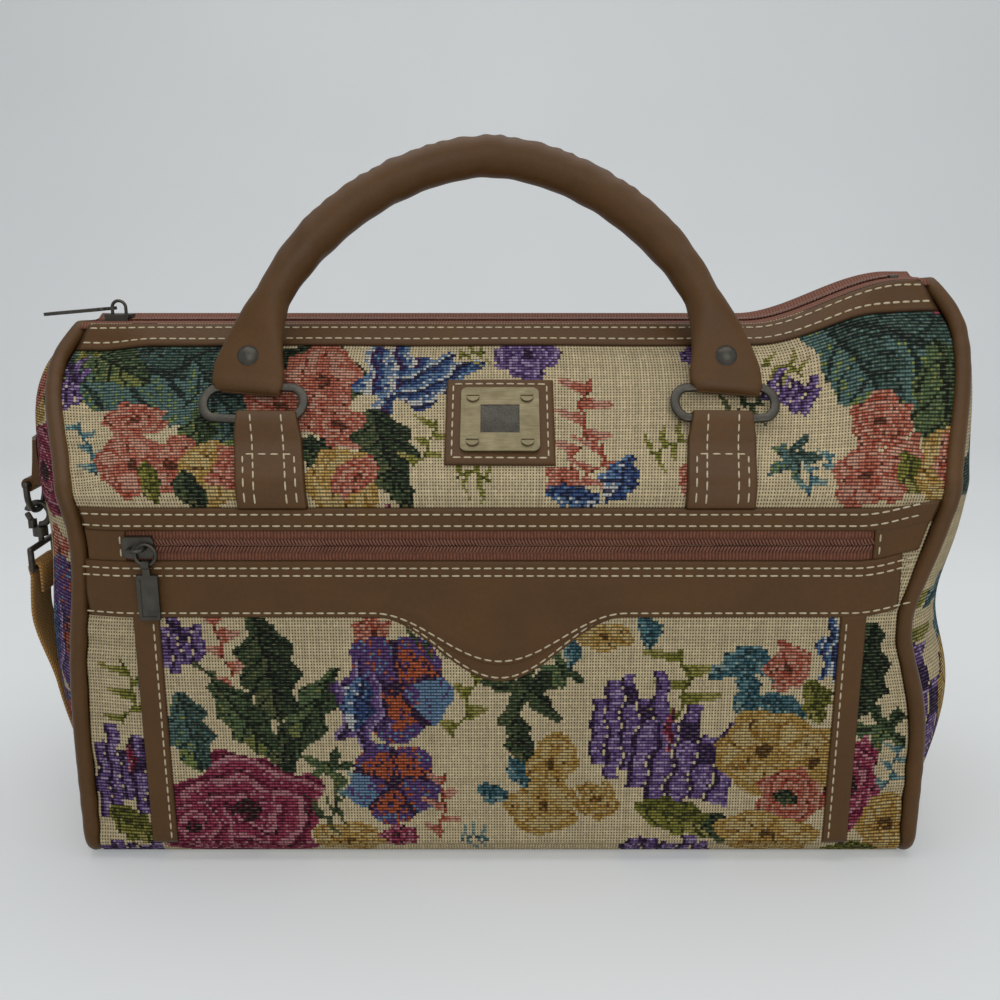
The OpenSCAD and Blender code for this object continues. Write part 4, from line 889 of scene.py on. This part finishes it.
def on_top(along, across, up):
    """A point above the top zip's tape, which arches under the coil and turns down the slopes."""
    x = top_left + along
    over = np.maximum(np.abs(across) - top_half, 0)
    y = np.clip(across, -top_half, top_half) + np.sign(across) * over * math.sin(lean)
    puffed = 3 * bell(over / 15) * smooth((across - 6) / 8)
    z = tape_top + up + 0.4 * bell(across / 8) - over * math.cos(lean) + puffed
    return np.stack([x, y, z + lift(x, np.full(np.shape(x), float(top_z)))], -1)


def on_slot(along, across, up):
    """A point above the pocket zip's tape."""
    x = along - slot_half
    return wrap(x, (slot_top_s + slot_low_s) / 2 - bow(x) - across, 0.4 + up)


top_l = top_right - top_left
tape("top_zip_tapes", lambda a, c, u: on_top(a - edge_gap, c, u), top_l + 2 * edge_gap, 0.3, 17.0,
     ["top_zip_tape"])
coil("top_zip_turns", lambda a, c, u: on_top(a + 7, c, u), 0.955 * top_l, ["top_zip_coil"])
tape("pocket_zip_tapes", on_slot, 2 * slot_half, 0.3, 7.4, ["pocket_zip_tape"])
coil("pocket_zip_turns", on_slot, 2 * slot_half - 1, ["pocket_zip_coil"])

# Handle chapes: a leather strap doubled over the bar of each ring, laid down the slope and over the
# shoulder to the pocket's band, with two rows of stitches and a sewn box at its foot.
chape_t = 3.4
fold_r = 3.9
fold_s = roof_l - 30
handle_ends = (-117.0, 105.0)
chape_line = ((-106.5, -100.0), (101.5, 97.0))


def ring_chape(name, back, side, mid_top, mid_low):
    """One chape and its stitches: a section that rises round the ring's bar in an arc and settles to an even
    thickness down the slope, between two edges that are rounded over the last of the width."""
    nose = np.linspace(-math.pi / 2, math.pi * 0.36, 14)
    tail = np.linspace(fold_s + 6, band_s - 0.4, 40)
    run_s = np.concatenate([fold_s - fold_r * np.cos(nose), tail])
    run_n = np.concatenate([fold_r + fold_r * np.sin(nose), chape_t + 2.6 * bell((tail - fold_s - 4) / 5)])
    w = (2 * eased(8, 0.06) - 1)[:, None]
    half = 14 + 1.5 * smooth((run_s - fold_s) / 10)
    mid = np.interp(run_s, (fold_s, band_s), (mid_top, mid_low))
    x = mid[None, :] + w * half[None, :]
    s = run_s[None, :] + 0 * x
    worn = np.clip((np.abs(w) - 0.93) / 0.07, 0, 1)
    upper = wrap(x, s, run_n[None, :] * (0.35 + 0.65 * np.sqrt(1 - np.square(worn))), back)
    lower = wrap(x, np.maximum(s, fold_s), 0.1, back)
    add_pad(f"{name}_{side}_ring_chape", upper, lower, leather, "brown_leather", [f"{name}_chape_{side}"],
            back, np.broadcast_to(worn, x.shape))
    line = np.linspace(fold_s - 1, band_s - 1.5, 60)
    mid = np.interp(line, (fold_s, band_s), (mid_top, mid_low))
    box_top = fold_s + 19
    box = np.linspace(box_top, band_s - 1.5, 40)
    for off in (-7, 7):
        sew(mid + off, line, 0.1 + np.interp(line, run_s[len(nose) - 1:], run_n[len(nose) - 1:]), back)
    for off in (-11.5, 11.5):
        sew(np.interp(box, line, mid) + off, box, chape_t + 0.1, back)
    sew(np.interp(box_top, line, mid) + np.linspace(-11, 11, 20), box_top, chape_t + 0.1, back)


for name, back in (("front", False), ("back", True)):
    for side, (mid_top, mid_low) in zip(("left", "right"), chape_line):
        ring_chape(name, back, side, mid_top, mid_low)

# Badge: a leather patch on the slope, sewn round its edge, that carries a plain metal plate held by
# four slotted screws, with a small hammered field let into its middle.
patch_w, patch_h = 50, 48
patch_mid = roof_l - 7 - patch_h / 2
w = (eased(10, 0.05) - 0.5)[:, None] * patch_w
v = patch_mid + (eased(10, 0.05) - 0.5)[None, :] * patch_h
patch("badge_leather", w + 0 * v, v + 0 * w, 1.8, ["badge_patch"], soft=1.5)
inset = 3.2
for sign in (-1, 1):
    across = np.linspace(-patch_w / 2 + inset, patch_w / 2 - inset, 30)
    sew(across, patch_mid + sign * (patch_h / 2 - inset), 1.9)
    down = np.linspace(-patch_h / 2 + inset, patch_h / 2 - inset, 30)
    sew(sign * (patch_w / 2 - inset), patch_mid + down, 1.9)

field_u = np.linspace(-8.8, 8.8, 60)[:, None]
field_v = np.linspace(-7.7, 7.7, 52)[None, :]
dents = np.sin(field_u * 3.1 + 1.5 * np.sin(field_v * 2.3))
dents = dents * np.sin(field_v * 3.7 + 1.3 * np.sin(field_u * 1.9))
field = [np.stack([field_u + 0 * field_v, *profile(patch_mid + field_v + 0 * field_u, n)], -1)
         for n in (3.2 + 0.22 * dents, 2.7)]

# Steel, plated gunmetal: dark and satin, rubbed brighter in places.
gunmetal, tree, shader = new_material("steel_plated_gunmetal")
spot = add_node(tree, "TexCoord", (), 3)
rub = add_node(tree, "TexNoise", {"Vector": spot, "Scale": 1 / (6 * mm), "Detail": 5.0, "Roughness": 0.65})
fine = add_node(tree, "TexNoise", {"Vector": spot, "Scale": 1 / (0.8 * mm), "Detail": 2.0})
plating = add_node(tree, "Mix", {0: rub, 6: linear("#2c2a26"), 7: linear("#625d54")}, 2, data_type="RGBA")
dull = add_node(tree, "MapRange", (fine, 0.3, 0.7, 0.32, 0.52))
plug(tree, shader, {"Base Color": plating, "Metallic": 0.85, "Roughness": dull})
add_pad("badge_hammered_field", *field, gunmetal, "dark_metal")

# Rolled handles: leather rolled round a rope core and sewn underneath, whose flattened ends fold
# round the rings and are held by a rivet each. Creases gather on the inner side of the bend.
handle_x, handle_half, handle_h = -6, 111, 120
handle_d, handle_neck, flap_w, flap_t = 20, 17, 33, 7
flap_flat, flare_l = 24, 45


def handle_points():
    """The handle in its own plane: a section carried along an arch. The section goes from a rounded nose
    about the ring's bar, through a flat flap whose edge is a little askew, to a round roll; creases
    press in on the inner side."""
    a = np.linspace(0, math.pi, 181)
    arch_x = handle_x - handle_half * np.sign(np.cos(a)) * np.abs(np.cos(a)) ** 1.15
    arch = np.stack([arch_x, 0 * a, handle_h * np.sin(a)], -1)
    nose = np.array([-3.9, -3.6, -2.8, -1.5])
    ends = [np.stack([np.full(4, x), np.zeros(4), nose], -1) for x in handle_ends]
    path = np.concatenate([ends[0], arch, ends[1][::-1]])
    along = np.gradient(path, axis=0)
    along[:5] = (0, 0, 1)
    along[-5:] = (0, 0, -1)
    h = path[:, 2]
    roll = smooth((h - flap_flat + 8) / (flare_l - flap_flat + 8))
    fuller = (handle_d - handle_neck) * smooth((h - flare_l) / 40)
    width = flap_w + (handle_neck - flap_w) * np.clip((h - 8) / (flare_l - 8), 0, 1) ** 0.9 + fuller
    thick = flap_t + (handle_neck - flap_t) * roll + fuller
    thick = np.where(h < 4, 2 * np.sqrt(np.clip(3.9 ** 2 - np.minimum(h, 0) ** 2, 0.3, None)), thick)
    width = np.where(h < 0, flap_w - 1.5 + 0.5 * h, width)
    k = np.linspace(0, 2 * math.pi, 40, endpoint=False)
    m = (1 - 0.5 * (1 - roll))[:, None]
    cx = np.sign(np.cos(k)) * np.abs(np.cos(k)) ** m
    cy = np.sign(np.sin(k)) * np.abs(np.sin(k)) ** m
    run = distance(path)[:, None]
    inner = np.clip(-cx, 0, 1)
    crease = 0.45 * inner ** 2 * np.sin(run / 1.35 + 1.3 * np.sin(run / 5)) * smooth((h[:, None] - 62) / 45)
    crease += 0.25 * np.sin(run / 3.1 + 2 * k) * np.sin(run / 17) * roll[:, None]
    seam_line = 0.7 * bell((np.arccos(np.clip(-cx, -1, 1))) / 0.16) * roll[:, None]
    side = np.cross([0, 1.0, 0], unit(along))
    points = path[:, None] + ((width[:, None] / 2 + crease - seam_line) * cx)[..., None] * side[:, None]
    points[..., 1] += (thick[:, None] / 2 + crease) * cy
    from_end = points[..., 0] - np.where(points[..., 0] < handle_x, *handle_ends)
    points[..., 2] -= 0.09 * from_end * (1 - smooth(h[:, None] / 26))
    return points


def stand(points, pivot, degrees, mirror):
    """Turns points about the x axis and sets them on a pivot; the back handle is the mirror image."""
    c, s = math.cos(math.radians(degrees)), math.sin(math.radians(degrees))
    x, y, z = points[..., 0], points[..., 1], points[..., 2]
    out = np.stack([x, y * c - z * s, y * s + z * c], -1)
    if mirror:
        out[..., 1] *= -1
    return out + pivot


roll_points = handle_points()
faces = grid_faces(len(roll_points), 40, close_v=True)[0]
ends = np.stack([np.arange(40), (len(roll_points) - 1) * 40 + np.arange(40)[::-1]])
for name, degrees, mirror in (("front", -28, False), ("back", 144, True)):
    pivot = joint_at[f"{name}_handle_swing"] * (0, 1, 1)
    blocks = [faces, ends] if mirror else [faces[:, ::-1], ends[:, ::-1]]
    add_piece(f"{name}_rolled_handle", stand(roll_points, pivot, degrees, mirror), blocks, leather,
              [f"{name}_handle"], f"{name}_handle")

# Rings: a flat steel strip bent into a rounded oblong, plated dark. The lower bar lies in the chape and
# the upper one in the handle's flap.
ring_w, ring_h, ring_corner = 46, 18, 8.5
ring_mid = (handle_ends[0] + 3.5, handle_ends[1] - 1.5)


def oblong(count):
    """A rounded oblong in the plane of x and z, with its lower bar on z = 0."""
    t = np.linspace(0, 2 * math.pi, count, endpoint=False)
    c, s = np.cos(t), np.sin(t)
    x = (ring_w / 2 - ring_corner) * np.clip(2.2 * c, -1, 1) + ring_corner * c
    z = (ring_h / 2 - ring_corner) * np.clip(2.2 * s, -1, 1) + ring_corner * s + ring_h / 2
    return np.stack([x, np.zeros(count), z], -1)


loop = oblong(96)
outward = np.cross([0, 1.0, 0], unit(np.roll(loop, -1, 0) - np.roll(loop, 1, 0)))
a = np.linspace(0, 2 * math.pi, 16, endpoint=False)
flat_x = 2.2 * np.sign(np.cos(a)) * np.abs(np.cos(a)) ** 0.7
flat_y = 1.2 * np.sign(np.sin(a)) * np.abs(np.sin(a)) ** 0.7
strip = loop[:, None] + flat_x[:, None] * outward[:, None] + flat_y[:, None] * np.array([0, 1.0, 0])
faces = grid_faces(96, 16, True, True)[0]
for name, degrees, mirror in (("front", -42, False), ("back", 104, True)):
    pivot = joint_at[f"{name}_ring_swing"] * (0, 1, 1)
    for side, mid in zip(("left", "right"), ring_mid):
        add_piece(f"{name}_{side}_ring_loop", stand(strip + (mid, 0, 0), pivot, degrees, mirror),
                  [faces if mirror else faces[:, ::-1]], gunmetal, [f"{name}_ring_{side}"],
                  f"{name}_rings")

# Base: a plain leather bottom, its edge turned up into the corner of the panels, over a stiff board
# that keeps it flat.
u = (2 * eased(16, 0.03) - 1)[:, None]
v = (2 * eased(10, 0.05) - 1)[None, :]
rise = 2.2 * np.maximum(smooth((np.abs(u) - 0.97) / 0.03) + 0 * v, smooth((np.abs(v) - 0.93) / 0.07) + 0 * u)
sole = np.stack([u * (seam_half - 5) + 0 * v, v * (half_depth - corner_r) + 0 * u, rise * 0.5], -1)
raised = sole + (0, 0, 2.4) - np.stack([0 * rise, 0 * rise, rise * 0.5], -1)
add_pad("base_leather", sole, raised, leather, "brown_leather", ["base_panel"])

# Stitches: cream thread in all the rows sewn above, gathered into one piece for the front and one for
# the back.
for name, rows in all_stitches.items():
    points = np.concatenate(rows)
    add_piece(f"{name}_stitches", points, stitch_faces(len(points), name == "back"), sewing_thread)

# Metal fittings: sliders, pulls, rivets, the snap hook and its ring are cast or turned and plated dark;
# the badge plate is brass, brushed and aged. The strap's tab is leather, and the base board millboard.
brass, tree, shader = new_material("brass_brushed_antique")
spot = add_node(tree, "TexCoord", (), 3)
stretch = add_node(tree, "Mapping", {0: spot, "Scale": (0.06, 1.0, 1.0)})
brushed = add_node(tree, "TexNoise", {"Vector": stretch, "Scale": 1 / (0.5 * mm), "Detail": 3.0})
aged = add_node(tree, "TexNoise", {"Vector": spot, "Scale": 1 / (7 * mm), "Detail": 4.0})
tone = add_node(tree, "Math", (brushed, aged), operation="MULTIPLY")
tone = add_node(tree, "MapRange", (tone, 0.0, 0.6, 0.0, 1.0))
bare = add_node(tree, "Mix", {0: tone, 6: linear("#5a5038"), 7: linear("#9c9070")}, 2, data_type="RGBA")
relief = add_node(tree, "Bump", {"Strength": 0.15, "Distance": 0.1 * mm, "Height": brushed})
plug(tree, shader, {"Base Color": bare, "Metallic": 0.8, "Roughness": 0.45, "Normal": relief})

# Millboard, pressed: grey-brown and matt, with a faint fibre.
millboard, tree, shader = new_material("millboard_pressed")
spot = add_node(tree, "TexCoord", (), 3)
fibre = add_node(tree, "TexNoise", {"Vector": spot, "Scale": 1 / (4 * mm), "Detail": 4.0})
pulp = add_node(tree, "Mix", {0: fibre, 6: linear("#3a312a"), 7: linear("#5c5046")}, 2, data_type="RGBA")
plug(tree, shader, {"Base Color": pulp, "Roughness": 0.9})

plated = ("front_handle_rivets", "back_handle_rivets", "top_zip_stops", "top_slider", "top_pull",
          "pocket_slider", "pocket_link", "pocket_pull", "strap_ring", "strap_hook", "strap_hook_gate",
          "strap_hook_eye")
for finish, names in ((gunmetal, plated), (brass, ("badge_plate",)), (leather, ("strap_tab",)),
                      (millboard, ("base_board",))):
    for name in names:
        slots = frame["nodes"][name].data.materials
        slots.clear()
        slots.append(finish)


# Studio: a pale seamless floor that curves up behind, a broad soft light overhead and a weak fill
# from the front, as the photograph has.
def background_rays(tree):
    """1 on the rays that show the background, from the camera or by way of gloss or glass, 0 on others."""
    shown = add_node(tree, "LightPath")
    for ray in ("Is Glossy Ray", "Is Transmission Ray"):
        shown = add_node(tree, "Math", (shown, add_node(tree, "LightPath", (), ray)), operation="MAXIMUM")
    return shown


# Paper, matt: a pale grey with slow changes of tone, which shines a little on the background's rays alone.
paper, tree, shader = new_material("paper_backdrop_matt")
grain = add_node(tree, "TexNoise", {"Vector": add_node(tree, "TexCoord", (), 3), "Scale": 1 / (400 * mm)})
sheet = add_node(tree, "Mix", {0: grain, 6: linear("#d4d6d6"), 7: linear("#dddfdf")}, 2, data_type="RGBA")
glow = add_node(tree, "Math", (background_rays(tree), 0.3), operation="MULTIPLY")
plug(tree, shader, {"Base Color": sheet, "Emission Color": sheet, "Emission Strength": glow,
                    "Roughness": 0.95})
turn = np.linspace(0, math.pi / 2, 16)
reach = np.concatenate([[-900], np.linspace(-300, 500, 5), 900 + 500 * np.sin(turn)])
rise = np.concatenate([np.zeros(6), 500 * (1 - np.cos(turn))])
reach, rise = np.append(reach, 1400), np.append(rise, 2200)
sweep = np.stack(np.broadcast_arrays(np.array([-1800.0, 1800])[:, None], reach, rise), -1)
mesh = bpy.data.meshes.new("backdrop")
mesh.from_pydata((sweep.reshape(-1, 3) * mm).tolist(), [], grid_faces(2, len(reach))[0][:, ::-1].tolist())
mesh.materials.append(paper)
mesh.polygons.foreach_set("use_smooth", [True] * len(mesh.polygons))
floor = bpy.data.objects.new("backdrop", mesh)
bpy.context.scene.collection.objects.link(floor)


def soft_light(name, size, power, place, aim):
    """A square lamp at a place, turned towards a point."""
    lamp = bpy.data.lights.new(name, "AREA")
    lamp.size = size
    lamp.energy = power
    made = bpy.data.objects.new(name, lamp)
    made.location = place
    made.rotation_euler = (made.location - Vector(aim)).to_track_quat("Z", "Y").to_euler()
    bpy.context.scene.collection.objects.link(made)


soft_light("overhead", 1.4, 7, (0.0, 0.15, 1.3), (0, 0, 0.1))
soft_light("front_fill", 1.2, 6, (0.25, -1.3, 0.75), (0, 0, 0.12))
world = bpy.data.worlds.new("room")
world.use_nodes = True
tree = world.node_tree
room = add_node(tree, "MapRange", (background_rays(tree), 0.0, 1.0, 0.4, 0.78))
plug(tree, tree.nodes["Background"], {"Color": linear("#dfe3e8"), "Strength": room})
bpy.context.scene.world = world
bpy.context.scene.view_settings.view_transform = "Standard"
